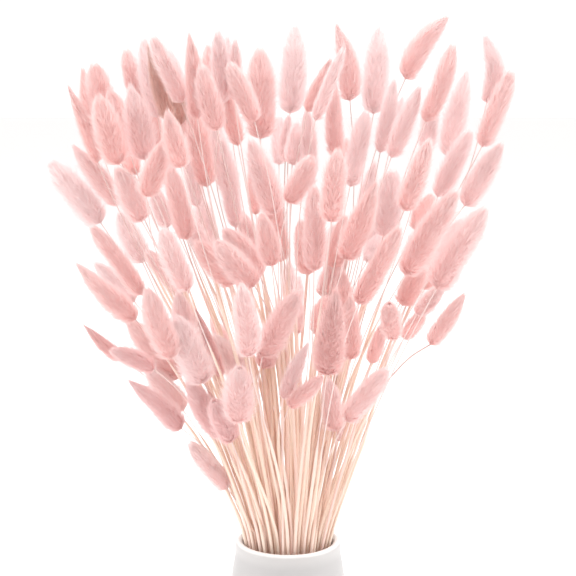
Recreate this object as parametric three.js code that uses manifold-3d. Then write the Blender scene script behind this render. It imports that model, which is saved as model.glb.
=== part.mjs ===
// A bunch of dried bunny tail grass standing in a plain matt white vase.
// Millimetres, +Z up. The origin is the centre of the vase's flat foot, -Y is the front.
import * as THREE from "three";
import { mergeVertices } from "three/addons/utils/BufferGeometryUtils.js";
import Module from "manifold-3d";

const wasm = await Module();
wasm.setup();

// ---------------------------------------------------------------- driving dimensions
const VASE_HEIGHT = 122.3; // to the top of the lip
const VASE_FLOOR = 8; // thickness of the bottom
const VASE_SIDES = 32; // facets round the vase
const FOOT_RADIUS = 36; // flat ring and face that the vase stands on
const BELLY_RADIUS = 44.5; // widest, low on the body
const LIP_RADIUS = 37.8; // outside of the lip
const MOUTH_RADIUS = 32.2; // inside of the lip
const SHEATH_RADIUS = 1.15; // stem inside its leaf sheath
const STALK_RADIUS = 0.55; // bare upper stalk
const STEM_SIDES = 4;
const HEAD_SIDES = 6;
const HEAD_CORE = 0.88; // the seed head's solid, as a share of its furry outline
// the seed head's shape: [share of its length from the base, share of its radius]
const HEAD_PROFILE = [
  [0.05, 0.6],
  [0.24, 0.96],
  [0.61, 0.92],
  [0.86, 0.55],
];
const HEAD_END = 0.97; // where the solid comes to its point

// Each row is one stem with its seed head:
//   the tuft that it grew in, how many of its points are in the leaf sheath, the head's furry radius,
//   eight points of its centre line from the foot in the vase to the head's base, the head's tip,
//   and how far the head bends sideways.
const STEMS = [
  [1, 6, 7.4, 0.0, -3.0, 8.3, -0.1, -3.5, 64.0, -0.2, -4.2, 123.3, -3.1, 0.9, 152.0, -9.6, 6.7, 179.1, -15.4, 11.5, 203.8, -18.5, 16.3, 225.1, -17.9, 21.2, 242.8, -5.8, 29.2, 284.0, 0.0],
  [1, 5, 6.6, 0.0, -3.0, 9.0, 3.2, -1.0, 64.0, 7.0, 1.3, 123.3, 10.6, 6.5, 158.0, 12.7, 10.7, 192.6, 15.1, 15.0, 223.5, 18.0, 19.4, 248.8, 21.0, 23.9, 267.9, 27.8, 45.3, 290.0, 0.0],
  [2, 6, 8.5, -2.5, -7.4, 8.3, -6.1, -7.2, 64.0, -10.2, -7.1, 123.3, -11.6, 7.4, 169.9, -11.6, 22.5, 215.7, -17.4, 37.4, 255.8, -27.4, 21.6, 288.0, -36.2, -15.2, 310.8, -62.1, -18.4, 339.2, 0.0],
  [2, 6, 8.1, -2.5, -7.4, 9.0, -2.1, -7.5, 64.0, -1.6, -7.8, 123.3, -0.2, -7.4, 168.9, -0.5, -7.7, 213.9, -2.8, -7.9, 254.5, -9.2, -8.2, 288.4, -19.1, -8.4, 314.6, -43.3, -10.2, 347.1, 0.0],
  [3, 5, 9.8, 2.5, -7.4, 8.3, 2.8, -8.5, 64.0, 4.1, -9.3, 123.3, 0.8, 11.9, 191.0, -5.1, 32.9, 256.4, -11.8, 36.6, 315.5, -17.0, 31.8, 366.6, -19.4, 26.6, 407.8, -19.7, 32.9, 469.1, 0.0],
  [3, 6, 5.2, 2.5, -7.4, 9.0, 5.3, -7.5, 64.0, 7.1, -8.2, 123.3, 7.3, 26.5, 195.3, 2.0, 59.4, 265.4, 1.1, 61.1, 329.1, 5.0, 45.9, 383.3, 13.5, 30.4, 426.5, 29.6, 34.4, 461.5, 0.0],
  [4, 5, 7.6, 5.1, -3.0, 8.3, 4.4, -3.4, 64.0, 3.4, -3.1, 123.3, 6.8, 2.1, 167.8, 10.8, 6.5, 211.2, 14.3, 10.9, 250.4, 15.7, 15.5, 284.2, 14.9, 20.1, 311.6, 9.2, 24.3, 348.5, 0.0],
  [4, 4, 5.5, 5.1, -3.0, 9.0, 6.6, -0.4, 64.0, 10.3, 1.5, 123.3, 17.4, 18.8, 172.3, 27.6, 35.8, 220.9, 39.4, 50.8, 264.1, 49.0, 55.3, 297.5, 57.8, 33.7, 320.1, 67.2, 62.4, 333.5, 0.0],
  [5, 6, 5.7, 2.5, 1.4, 8.3, 1.6, 1.1, 64.0, 1.6, 0.8, 123.3, 4.2, 32.1, 181.8, 9.0, 62.0, 238.5, 13.6, 75.8, 289.9, 15.2, 59.4, 334.4, 15.1, 40.9, 370.3, 13.7, 50.7, 425.1, 0.0],
  [5, 5, 6.3, 2.5, 1.4, 9.0, 5.6, 2.2, 64.0, 8.0, 3.8, 123.3, 13.4, 23.2, 187.3, 21.0, 42.0, 249.3, 27.9, 54.4, 305.3, 32.6, 53.4, 353.5, 34.8, 51.5, 392.5, 33.4, 63.0, 448.4, 0.0],
  [5, 5, 6.1, 2.5, 1.4, 9.7, 3.2, 3.2, 64.0, 4.7, 4.0, 123.3, 4.5, 15.1, 186.5, 3.4, 26.7, 248.3, 1.7, 35.8, 304.0, 1.4, 42.2, 351.0, 3.0, 49.1, 387.6, 6.6, 65.7, 416.4, 0.0],
  [6, 6, 7.2, -2.5, 1.4, 8.3, -3.8, 3.7, 64.0, -5.2, 6.2, 123.3, -10.1, 20.3, 180.9, -18.3, 34.5, 236.5, -25.5, 39.1, 287.7, -33.5, 40.2, 331.5, -40.5, 41.2, 366.6, -54.1, 50.0, 413.6, 0.0],
  [6, 5, 5.7, -2.5, 1.4, 9.0, -2.1, 1.6, 64.0, -1.7, 1.7, 123.3, -5.3, 16.8, 175.7, -14.9, 29.8, 226.2, -25.1, 35.5, 272.2, -32.3, 30.2, 312.3, -37.1, 24.2, 344.8, -46.8, 31.7, 406.2, 0.0],
  [7, 5, 7.5, -5.1, -3.0, 8.3, -4.9, -4.3, 64.0, -6.7, -5.3, 123.3, -13.7, -1.1, 183.5, -24.6, 2.9, 241.4, -37.6, 7.3, 293.5, -49.1, 11.8, 338.4, -57.0, 16.2, 374.8, -66.4, 19.8, 426.4, 0.0],
  [7, 5, 6.7, -5.1, -3.0, 9.0, -7.5, -3.9, 64.0, -9.3, -3.2, 123.3, -15.2, 30.9, 175.2, -30.9, 61.2, 224.3, -48.6, 62.9, 268.2, -62.0, 36.0, 306.9, -70.8, 5.9, 338.6, -82.0, 7.4, 388.3, 0.0],
  [8, 7, 6.2, -7.6, -7.4, 8.3, -9.8, -8.7, 64.0, -11.2, -11.9, 123.3, -19.7, -2.3, 194.7, -31.8, 1.4, 264.1, -44.8, -4.7, 326.9, -54.5, -23.7, 381.3, -59.3, -44.1, 425.2, -63.4, -52.1, 477.5, 0.0],
  [8, 6, 5.3, -7.6, -7.4, 9.0, -10.0, -6.0, 64.0, -12.6, -4.8, 123.3, -23.7, 35.3, 194.7, -37.3, 45.0, 263.9, -53.0, 21.7, 326.3, -67.5, -3.5, 380.0, -78.8, -28.4, 423.1, -91.4, -33.2, 469.2, 0.0],
  [8, 6, 5.9, -7.6, -7.4, 9.7, -7.3, -9.7, 64.0, -8.4, -11.9, 123.3, -18.5, 2.9, 197.8, -29.0, 7.5, 270.4, -42.0, 0.2, 335.9, -56.3, -19.2, 391.5, -69.8, -40.6, 435.4, -87.4, -46.8, 477.5, 0.0],
  [9, 5, 5.4, -5.1, -11.8, 8.3, -4.7, -9.9, 64.0, -4.3, -8.1, 123.3, -7.4, 16.5, 190.0, -12.5, 35.9, 255.5, -20.1, 25.2, 314.2, -27.4, 8.7, 364.7, -34.2, -8.2, 405.2, -44.6, -9.7, 454.5, 0.0],
  [9, 5, 6.9, -5.1, -11.8, 9.0, -5.4, -14.9, 64.0, -4.6, -18.2, 123.3, -11.0, 20.2, 191.2, -20.1, 31.5, 257.5, -28.5, 9.2, 320.1, -38.2, -19.6, 374.4, -46.3, -52.2, 417.8, -55.7, -60.0, 459.1, 0.0],
  [9, 7, 5.7, -5.1, -11.8, 9.7, -3.2, -13.4, 64.0, -2.2, -16.3, 123.3, -8.3, 15.5, 203.7, -16.6, 37.2, 267.8, -39.8, 35.4, 328.4, -51.0, 22.2, 381.6, -44.4, -18.8, 433.4, -46.5, -21.9, 481.0, 0.0],
  [10, 5, 4.2, 0.0, -11.8, 8.3, 2.7, -12.0, 64.0, 5.1, -12.2, 123.3, 6.4, -19.5, 194.7, 5.6, -26.9, 264.5, 5.9, -34.2, 327.7, 10.0, -41.5, 381.6, 17.8, -48.9, 424.1, 35.2, -57.2, 469.2, 0.0],
  [10, 5, 6.2, 0.0, -11.8, 9.0, 0.8, -13.9, 64.0, 2.1, -16.2, 123.3, 2.3, -22.8, 194.5, 0.8, -29.3, 264.3, -3.8, -35.9, 327.4, -11.8, -42.4, 381.2, -21.8, -48.9, 423.4, -37.3, -55.6, 460.3, 0.0],
  [10, 6, 4.2, 0.0, -11.8, 9.7, 0.5, -10.6, 64.0, 1.5, -9.7, 123.3, -2.7, 20.7, 196.9, -11.1, 34.6, 268.5, -21.8, 15.0, 333.8, -30.1, -6.5, 390.3, -36.0, -24.1, 436.9, -35.0, -27.2, 475.1, 0.0],
  [11, 6, 8.3, 5.1, -11.8, 8.3, 6.8, -11.5, 64.0, 8.7, -11.6, 123.3, 10.7, -12.5, 178.9, 9.2, -13.3, 233.3, 4.5, -14.2, 282.8, -2.2, -15.0, 325.0, -9.1, -15.8, 358.7, -24.9, -19.5, 408.0, 2.0],
  [11, 6, 7.0, 5.1, -11.8, 9.0, 5.3, -13.6, 64.0, 5.9, -15.5, 123.3, 5.2, -23.4, 182.6, -0.4, -31.7, 240.9, -5.8, -40.4, 293.5, -5.9, -49.1, 337.7, 0.2, -57.9, 372.0, 14.7, -71.8, 401.2, 0.0],
  [12, 5, 6.6, 7.6, -7.4, 8.3, 8.7, -6.2, 64.0, 10.7, -6.0, 123.3, 17.4, 16.1, 182.7, 24.1, 37.6, 240.3, 30.7, 49.4, 292.2, 37.4, 34.2, 337.9, 43.7, 17.6, 374.7, 54.6, 21.5, 425.6, 0.0],
  [12, 4, 5.5, 7.6, -7.4, 9.0, 11.4, -6.1, 64.0, 15.8, -4.7, 123.3, 25.7, 21.4, 189.2, 39.0, 47.9, 251.9, 51.1, 60.3, 308.5, 59.0, 41.5, 358.2, 64.8, 20.7, 398.3, 74.2, 24.7, 447.8, 0.0],
  [12, 5, 6.0, 7.6, -7.4, 9.7, 9.8, -8.6, 64.0, 12.3, -9.2, 123.3, 23.2, 23.7, 187.3, 36.0, 54.4, 249.9, 48.8, 59.5, 307.3, 60.6, 33.0, 356.7, 71.5, 4.6, 396.0, 90.0, 5.5, 443.4, 0.0],
  [13, 4, 5.5, 10.1, -3.0, 8.3, 13.2, -1.6, 64.0, 16.9, 0.1, 123.3, 21.0, 5.5, 139.6, 26.1, 10.9, 155.1, 31.0, 16.2, 168.5, 34.0, 21.0, 179.8, 35.9, 25.9, 188.5, 43.2, 49.7, 206.0, 0.0],
  [13, 5, 7.3, 10.1, -3.0, 9.0, 14.6, -5.2, 64.0, 19.9, -7.4, 123.3, 25.3, -4.2, 141.0, 29.3, -1.2, 158.4, 32.7, 1.7, 174.3, 34.5, 4.5, 188.1, 34.3, 7.1, 199.8, 28.6, 10.2, 237.4, 0.0],
  [14, 5, 9.0, 7.6, 1.4, 8.3, 10.2, 3.3, 64.0, 13.3, 5.4, 123.3, 22.0, 30.9, 195.2, 36.3, 56.1, 263.3, 47.9, 65.4, 325.3, 55.2, 63.9, 379.8, 62.6, 66.4, 423.5, 67.2, 81.0, 485.8, 0.0],
  [14, 4, 7.6, 7.6, 1.4, 9.0, 9.3, -1.3, 64.0, 9.7, -3.4, 123.3, 17.3, 28.7, 197.2, 31.9, 59.2, 267.9, 45.9, 59.3, 331.8, 47.5, 44.4, 388.4, 43.6, 28.9, 434.3, 34.4, 34.0, 485.1, 3.2],
  [15, 6, 8.1, 5.1, 5.8, 8.3, 6.4, 9.0, 64.0, 8.8, 12.1, 123.3, 11.8, 24.8, 163.1, 14.0, 37.4, 201.0, 16.8, 50.1, 234.5, 21.0, 62.8, 262.8, 26.6, 75.5, 285.3, 44.3, 96.5, 326.0, 0.0],
  [15, 5, 7.6, 5.1, 5.8, 9.0, 8.3, 7.2, 64.0, 11.4, 9.4, 123.3, 15.9, 21.1, 167.9, 22.0, 32.1, 210.8, 25.4, 42.9, 249.6, 29.2, 51.6, 283.4, 33.4, 59.3, 310.7, 42.4, 71.2, 346.6, 0.0],
  [15, 6, 4.1, 5.1, 5.8, 9.7, 5.7, 6.4, 64.0, 6.7, 7.5, 123.3, 10.8, 20.5, 168.2, 16.2, 33.5, 210.6, 21.8, 46.5, 248.4, 26.7, 59.5, 280.7, 30.0, 72.5, 307.1, 33.2, 85.1, 338.9, 0.0],
  [16, 6, 9.4, 0.0, 5.8, 8.3, -0.1, 7.3, 64.0, -0.2, 7.8, 123.3, 0.1, 23.0, 195.1, -0.2, 38.1, 264.3, -0.8, 53.2, 326.6, -0.3, 68.4, 380.1, 1.5, 83.5, 423.1, 5.2, 102.5, 486.8, 0.0],
  [16, 7, 5.2, 0.0, 5.8, 9.0, -0.4, 4.7, 64.0, -0.8, 4.5, 123.3, 0.4, 17.3, 186.7, -0.9, 29.6, 247.9, -2.5, 41.6, 302.9, -3.0, 53.6, 350.3, -2.1, 65.6, 388.5, 0.7, 74.2, 421.1, 0.0],
  [17, 5, 6.0, -5.1, 5.8, 8.3, -4.2, 6.8, 64.0, -3.6, 8.7, 123.3, -12.3, 29.0, 191.2, -28.1, 46.0, 255.8, -46.0, 57.9, 313.3, -61.9, 69.5, 362.8, -73.0, 81.1, 402.9, -79.9, 90.6, 435.2, 0.0],
  [17, 7, 6.5, -5.1, 5.8, 9.0, -4.7, 9.4, 64.0, -3.8, 12.9, 123.3, -9.1, 28.8, 187.4, -18.5, 43.9, 248.8, -30.0, 59.1, 303.8, -41.5, 74.2, 350.6, -51.2, 89.4, 388.1, -63.6, 103.9, 428.8, 0.0],
  [18, 5, 5.8, -7.6, 1.4, 8.3, -6.5, 1.8, 64.0, -5.7, 2.3, 123.3, -17.8, 28.2, 196.9, -31.5, 44.8, 267.4, -51.3, 48.3, 330.2, -65.7, 55.8, 383.5, -76.0, 64.9, 427.9, -86.3, 73.9, 468.4, 0.0],
  [18, 5, 6.5, -7.6, 1.4, 9.0, -10.0, 0.8, 64.0, -11.6, -1.4, 123.3, -25.5, 41.6, 197.7, -47.1, 53.0, 274.8, -73.5, 51.4, 333.5, -91.2, 40.5, 382.7, -104.1, 38.9, 426.2, -115.1, 44.7, 468.9, 0.0],
  [18, 6, 7.4, -7.6, 1.4, 9.7, -11.6, 3.7, 64.0, -16.3, 6.1, 123.3, -28.6, 48.0, 191.7, -51.2, 65.8, 255.0, -68.0, 56.4, 305.5, -83.3, 50.0, 353.8, -94.9, 57.7, 393.5, -103.7, 66.3, 433.1, 0.0],
  [19, 6, 5.6, -10.1, -3.0, 8.3, -8.4, -1.4, 64.0, -6.5, -0.2, 123.3, -16.1, 15.1, 193.9, -30.5, 23.0, 261.9, -47.5, 24.1, 323.1, -63.3, 23.9, 375.5, -75.3, 23.7, 417.8, -87.5, 27.4, 460.9, 0.0],
  [19, 6, 7.5, -10.1, -3.0, 9.0, -12.2, -1.9, 64.0, -15.3, -1.9, 123.3, -31.4, 46.7, 194.3, -50.9, 63.8, 262.7, -71.3, 49.3, 324.1, -84.3, 33.8, 378.4, -90.9, 18.3, 422.9, -100.0, 21.7, 476.0, 0.0],
  [19, 6, 7.4, -10.1, -3.0, 9.7, -13.9, -3.9, 64.0, -17.9, -4.2, 123.3, -33.4, -1.5, 189.4, -53.7, 1.1, 252.4, -75.7, 3.3, 308.7, -95.0, 5.4, 357.1, -109.1, 7.6, 396.5, -122.8, 8.9, 440.6, 0.0],
  [20, 5, 4.1, -12.7, -7.4, 8.3, -14.3, -7.9, 64.0, -16.7, -8.2, 123.3, -22.1, -7.8, 151.8, -28.4, -7.5, 179.2, -35.0, -7.0, 204.1, -41.3, -6.9, 225.3, -46.5, -6.8, 242.7, -63.2, -9.6, 289.7, 0.0],
  [20, 5, 7.7, -12.7, -7.4, 9.0, -16.6, -6.6, 64.0, -20.9, -6.4, 123.3, -29.9, -6.9, 157.8, -40.6, -7.9, 190.9, -51.4, -9.6, 220.8, -60.5, -11.7, 246.5, -66.8, -13.9, 267.8, -75.6, -17.2, 304.4, 0.0],
  [21, 5, 8.1, -10.1, -11.8, 8.3, -11.4, -12.8, 64.0, -13.5, -13.2, 123.3, -25.8, -6.8, 180.5, -43.9, -1.3, 234.7, -64.1, -3.8, 282.8, -83.0, -17.9, 323.8, -97.3, -41.6, 357.0, -112.2, -48.1, 392.2, 0.0],
  [21, 6, 8.2, -10.1, -11.8, 9.0, -14.7, -12.0, 64.0, -20.6, -13.5, 123.3, -36.7, -7.1, 191.5, -57.4, -0.9, 256.4, -75.6, -0.3, 318.2, -89.9, -20.9, 368.9, -109.7, -59.0, 396.3, -120.3, -68.3, 439.1, 0.0],
  [21, 5, 8.8, -10.1, -11.8, 9.7, -12.4, -10.3, 64.0, -13.9, -10.6, 123.3, -27.6, 27.1, 189.5, -47.1, 52.1, 252.6, -67.8, 44.3, 309.2, -84.5, 4.0, 358.3, -94.3, -43.6, 398.3, -101.7, -51.1, 444.9, 0.0],
  [22, 6, 6.7, -7.6, -16.1, 8.3, -7.5, -18.2, 64.0, -8.5, -20.2, 123.3, -17.8, -32.0, 188.7, -31.3, -43.8, 251.6, -46.0, -55.6, 308.2, -59.0, -67.4, 356.8, -68.0, -79.2, 396.0, -74.8, -89.3, 431.1, 0.0],
  [22, 6, 6.8, -7.6, -16.1, 9.0, -10.0, -17.1, 64.0, -12.2, -18.9, 123.3, -27.8, -11.8, 184.2, -52.1, -4.8, 242.1, -75.7, -6.7, 294.0, -89.7, -34.3, 339.1, -91.5, -66.4, 376.2, -78.0, -76.0, 412.9, 0.0],
  [23, 5, 5.3, -2.5, -16.1, 8.3, -0.1, -19.6, 64.0, 2.5, -23.8, 123.3, 1.4, -28.2, 149.3, -1.6, -32.6, 175.2, -4.0, -36.9, 198.6, -3.2, -41.3, 217.7, 1.0, -45.7, 232.1, 22.5, -64.0, 256.1, 0.0],
  [23, 6, 5.1, -2.5, -16.1, 9.0, -1.8, -17.5, 64.0, -0.6, -19.5, 123.3, -1.9, -23.0, 149.7, -4.5, -26.5, 175.7, -6.5, -30.2, 199.2, -6.0, -34.2, 219.2, -3.2, -38.3, 235.2, 12.7, -51.1, 275.0, -1.0],
  [23, 6, 9.8, -2.5, -16.1, 9.7, -4.5, -19.6, 64.0, -6.8, -23.9, 123.3, -10.9, -30.1, 147.8, -18.0, -36.4, 170.9, -25.5, -42.7, 191.6, -31.1, -48.9, 209.4, -33.5, -55.2, 224.3, -32.1, -71.3, 263.8, 0.0],
  [24, 5, 6.8, 2.5, -16.1, 8.3, 5.9, -17.9, 64.0, 9.5, -20.0, 123.3, 12.7, -28.5, 171.5, 15.0, -37.0, 218.6, 16.2, -45.4, 261.2, 16.8, -53.9, 297.8, 17.0, -62.4, 327.2, 16.5, -79.0, 382.7, 0.0],
  [24, 6, 6.2, 2.5, -16.1, 9.0, 3.3, -17.7, 64.0, 4.8, -19.7, 123.3, 5.4, -25.4, 172.9, 3.6, -30.8, 221.2, -0.2, -36.1, 264.8, -5.0, -45.5, 302.0, -9.9, -67.6, 331.4, -16.6, -78.2, 365.3, 0.0],
  [25, 5, 9.4, 7.6, -16.1, 8.3, 9.1, -19.9, 64.0, 11.2, -24.1, 123.3, 14.8, -34.8, 156.8, 18.2, -45.6, 188.8, 21.2, -56.3, 217.4, 23.6, -67.0, 241.8, 25.4, -77.8, 261.8, 30.0, -104.6, 320.0, 0.0],
  [25, 4, 6.5, 7.6, -16.1, 9.0, 10.5, -17.6, 64.0, 13.8, -19.7, 123.3, 19.4, -29.7, 167.5, 24.9, -39.8, 210.3, 31.0, -49.8, 248.7, 38.1, -59.8, 281.0, 45.8, -69.8, 306.6, 70.0, -90.3, 358.5, 0.0],
  [26, 5, 7.4, 10.1, -11.8, 8.3, 12.0, -14.1, 64.0, 14.0, -16.3, 123.3, 17.6, -17.2, 145.5, 22.5, -18.1, 167.0, 28.0, -19.1, 186.4, 34.2, -20.0, 202.5, 40.7, -20.9, 215.2, 67.8, -30.4, 253.2, 0.0],
  [26, 6, 7.8, 10.1, -11.8, 9.0, 10.2, -12.1, 64.0, 10.9, -13.4, 123.3, 16.3, 0.1, 154.6, 24.4, 13.5, 184.6, 34.7, 21.9, 211.6, 41.6, 14.7, 235.4, 43.4, -7.0, 255.7, 43.0, -9.4, 300.2, 0.0],
  [27, 5, 7.7, 12.7, -7.4, 8.3, 13.7, -7.8, 64.0, 15.4, -8.7, 123.3, 25.8, 24.7, 203.0, 36.6, 58.4, 279.7, 51.3, 61.5, 347.6, 65.8, 47.9, 405.2, 82.9, 33.4, 449.4, 112.0, 38.8, 491.4, -2.8],
  [27, 5, 6.4, 12.7, -7.4, 9.0, 14.1, -10.4, 64.0, 16.1, -13.0, 123.3, 31.6, 28.1, 194.5, 49.0, 50.1, 263.1, 67.9, 56.8, 324.8, 83.6, 45.0, 378.1, 94.6, 0.9, 421.0, 112.0, 1.1, 471.9, 1.7],
  [28, 5, 7.8, 15.2, -3.0, 8.3, 17.3, -3.4, 64.0, 20.2, -4.7, 123.3, 35.9, 10.8, 182.7, 57.9, 26.6, 238.4, 82.2, 41.2, 287.7, 105.5, 37.6, 329.3, 123.0, 4.0, 362.7, 147.6, 4.8, 404.4, 0.0],
  [28, 4, 7.0, 15.2, -3.0, 9.0, 19.8, -2.7, 64.0, 24.7, -2.7, 123.3, 41.6, 42.3, 181.6, 61.0, 56.7, 237.3, 81.5, 55.2, 287.1, 101.0, 50.5, 329.3, 105.8, 23.1, 367.0, 128.5, 27.9, 412.7, 0.0],
  [29, 4, 6.5, 12.7, 1.4, 8.3, 15.8, 0.5, 64.0, 19.6, 0.0, 123.3, 32.8, 43.3, 177.3, 47.2, 60.3, 230.3, 63.2, 50.0, 277.4, 78.5, 38.1, 315.5, 91.5, 26.2, 343.7, 104.6, 48.9, 364.6, 0.0],
  [29, 5, 9.2, 12.7, 1.4, 9.0, 14.7, 2.9, 64.0, 17.6, 4.4, 123.3, 28.7, 36.8, 174.1, 40.8, 51.2, 223.0, 53.1, 46.9, 267.2, 62.4, 41.6, 305.5, 68.6, 36.4, 336.8, 75.7, 44.4, 382.4, 0.0],
  [30, 6, 5.0, 10.1, 5.8, 8.3, 15.6, 5.5, 64.0, 22.2, 4.8, 123.3, 30.1, 6.5, 153.1, 39.3, 7.8, 182.0, 47.0, 8.8, 208.5, 53.9, 10.1, 230.8, 59.4, 11.4, 248.7, 69.1, 25.3, 275.9, 0.0],
  [30, 4, 7.9, 10.1, 5.8, 9.0, 12.4, 6.9, 64.0, 15.3, 8.2, 123.3, 20.8, 15.4, 155.7, 27.2, 22.7, 186.8, 33.5, 28.5, 215.2, 36.5, 34.3, 240.0, 38.1, 40.1, 260.3, 39.8, 54.8, 307.8, 0.0],
  [31, 5, 5.0, 7.6, 10.2, 8.3, 9.4, 11.7, 64.0, 12.2, 13.3, 123.3, 20.4, 32.2, 183.7, 29.5, 51.2, 240.8, 37.7, 70.0, 291.8, 42.7, 91.8, 334.1, 44.1, 117.3, 366.7, 46.0, 133.1, 400.6, 0.0],
  [31, 5, 4.3, 7.6, 10.2, 9.0, 11.5, 10.2, 64.0, 15.5, 10.9, 123.3, 27.9, 30.4, 190.4, 42.5, 49.6, 255.6, 55.5, 61.4, 314.8, 67.5, 65.5, 364.9, 76.6, 69.1, 404.4, 85.3, 83.5, 434.0, 0.0],
  [32, 6, 8.0, 2.5, 10.2, 8.3, 1.6, 10.7, 64.0, 0.7, 11.9, 123.3, 0.3, 22.2, 169.0, -0.2, 32.6, 213.2, -1.2, 43.0, 253.1, -3.0, 53.3, 287.1, -5.3, 63.7, 314.5, -13.5, 85.1, 372.9, 0.0],
  [32, 6, 6.7, 2.5, 10.2, 9.0, 2.5, 13.2, 64.0, 2.8, 16.3, 123.3, 2.1, 33.8, 170.1, -1.5, 51.1, 214.3, -7.8, 68.0, 253.1, -15.5, 85.0, 285.7, -23.3, 102.0, 311.9, -37.3, 120.6, 344.8, 0.0],
  [33, 6, 6.7, -2.5, 10.2, 8.3, -1.9, 10.3, 64.0, -1.4, 10.2, 123.3, -6.6, 25.6, 198.2, -16.8, 40.5, 270.3, -29.2, 53.5, 335.4, -39.1, 66.7, 391.5, -44.4, 79.9, 436.9, -45.2, 90.6, 477.9, 0.0],
  [33, 5, 7.0, -2.5, 10.2, 9.0, -3.5, 12.9, 64.0, -5.8, 16.1, 123.3, -13.8, 35.6, 196.6, -25.4, 55.1, 266.9, -38.0, 74.6, 330.0, -48.6, 94.0, 384.1, -56.5, 111.8, 428.3, -61.5, 127.9, 472.1, 0.0],
  [34, 5, 7.4, -7.6, 10.2, 8.3, -9.0, 12.7, 64.0, -10.5, 14.5, 123.3, -17.2, 29.5, 171.0, -26.8, 45.8, 215.3, -38.9, 62.7, 253.6, -49.9, 79.4, 286.2, -58.2, 96.0, 312.8, -70.6, 119.2, 358.2, 0.0],
  [34, 7, 5.5, -7.6, 10.2, 9.0, -10.3, 10.3, 64.0, -12.9, 11.8, 123.3, -24.8, 27.6, 178.2, -35.8, 42.2, 232.0, -47.8, 50.7, 280.5, -58.5, 56.2, 322.1, -66.4, 61.7, 355.7, -75.4, 72.8, 396.2, 0.0],
  [35, 5, 6.6, -10.1, 5.8, 8.3, -10.8, 7.5, 64.0, -11.7, 9.3, 123.3, -17.3, 24.6, 169.7, -23.8, 37.9, 215.3, -32.5, 44.3, 256.0, -43.0, 44.0, 290.1, -54.2, 43.4, 316.7, -74.5, 51.8, 348.1, 0.0],
  [35, 5, 7.2, -10.1, 5.8, 9.0, -14.2, 6.6, 64.0, -18.9, 7.6, 123.3, -26.8, 20.0, 165.1, -35.9, 32.6, 205.3, -47.8, 45.0, 240.5, -61.0, 51.0, 269.4, -74.3, 44.9, 291.3, -103.8, 55.9, 322.5, 0.0],
  [36, 6, 6.2, -12.7, 1.4, 8.3, -14.6, 3.3, 64.0, -18.1, 4.1, 123.3, -37.7, 13.4, 191.1, -65.7, 22.9, 254.0, -95.5, 32.3, 309.6, -120.1, 41.8, 358.0, -135.5, 51.1, 398.3, -148.5, 61.7, 454.8, 0.0],
  [36, 5, 8.3, -12.7, 1.4, 9.0, -14.5, -0.7, 64.0, -18.0, -1.4, 123.3, -35.3, 3.2, 194.5, -60.4, 7.9, 261.6, -87.5, 12.5, 321.4, -110.3, 17.2, 373.1, -125.0, 21.8, 415.8, -135.6, 25.0, 458.8, 0.0],
  [36, 6, 5.6, -12.7, 1.4, 9.7, -16.3, 1.3, 64.0, -20.3, 0.8, 123.3, -39.6, 4.4, 188.9, -65.2, 7.6, 250.7, -92.6, 10.3, 305.6, -116.4, 13.1, 352.9, -133.3, 15.8, 391.7, -152.2, 19.0, 442.4, 1.1],
  [37, 6, 9.6, -15.2, -3.0, 8.3, -18.9, 0.3, 64.0, -23.1, 3.9, 123.3, -40.5, 8.9, 179.7, -63.2, 14.0, 232.8, -88.7, 19.1, 279.1, -113.4, 24.1, 317.5, -134.0, 29.1, 347.7, -170.3, 36.1, 391.3, 0.0],
  [37, 6, 7.2, -15.2, -3.0, 9.0, -18.7, -3.8, 64.0, -22.9, -4.7, 123.3, -38.5, 0.2, 182.2, -57.2, 5.4, 238.6, -78.2, 11.0, 288.2, -99.5, 16.7, 329.4, -118.7, 22.4, 361.3, -151.3, 27.1, 401.5, -1.1],
  [38, 5, 7.4, -17.7, -7.4, 8.3, -21.0, -8.2, 64.0, -25.1, -8.7, 123.3, -32.9, -1.5, 145.1, -42.5, 4.9, 165.5, -54.1, 4.8, 182.6, -65.2, -4.8, 196.7, -74.6, -15.6, 208.0, -108.5, -22.7, 242.6, 0.0],
  [38, 6, 7.7, -17.7, -7.4, 9.0, -22.1, -5.8, 64.0, -27.8, -4.1, 123.3, -36.1, 1.8, 146.1, -46.1, 6.7, 167.3, -56.5, 8.5, 186.0, -66.5, 10.0, 201.5, -75.0, 11.5, 214.0, -100.4, 15.5, 242.8, 0.0],
  [38, 6, 8.2, -17.7, -7.4, 9.7, -17.8, -9.0, 64.0, -17.8, -11.2, 123.3, -22.5, -12.7, 142.7, -29.6, -14.1, 161.0, -36.4, -15.7, 177.7, -41.7, -17.6, 192.2, -46.3, -19.6, 204.1, -68.6, -28.9, 244.4, 0.0],
  [39, 5, 6.1, -20.2, -11.8, 8.3, -22.1, -14.1, 64.0, -24.7, -16.3, 123.3, -35.1, -13.7, 157.0, -48.0, -11.4, 189.6, -62.7, -14.7, 217.7, -77.8, -23.6, 239.5, -91.8, -34.3, 255.0, -117.6, -50.7, 270.8, 0.0],
  [39, 6, 7.5, -20.2, -11.8, 9.0, -23.6, -11.9, 64.0, -27.2, -12.6, 123.3, -39.9, -5.1, 164.7, -55.1, -7.7, 204.1, -71.7, -16.3, 238.7, -88.4, -24.9, 267.1, -103.5, -33.4, 289.0, -139.4, -43.0, 327.1, -1.4],
  [40, 6, 6.5, -15.2, -11.8, 8.3, -18.6, -11.8, 64.0, -22.8, -11.8, 123.3, -25.7, -9.6, 132.8, -29.9, -7.4, 141.3, -34.7, -5.3, 148.5, -39.3, -3.4, 154.6, -43.3, -1.6, 160.0, -69.6, -2.3, 193.7, 0.0],
  [40, 6, 8.0, -15.2, -11.8, 9.0, -15.6, -14.6, 64.0, -15.8, -16.9, 123.3, -18.9, -20.1, 143.3, -24.3, -23.6, 162.4, -30.1, -27.1, 179.4, -35.3, -30.6, 193.7, -39.4, -34.2, 205.2, -49.6, -52.7, 236.9, 0.0],
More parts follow.
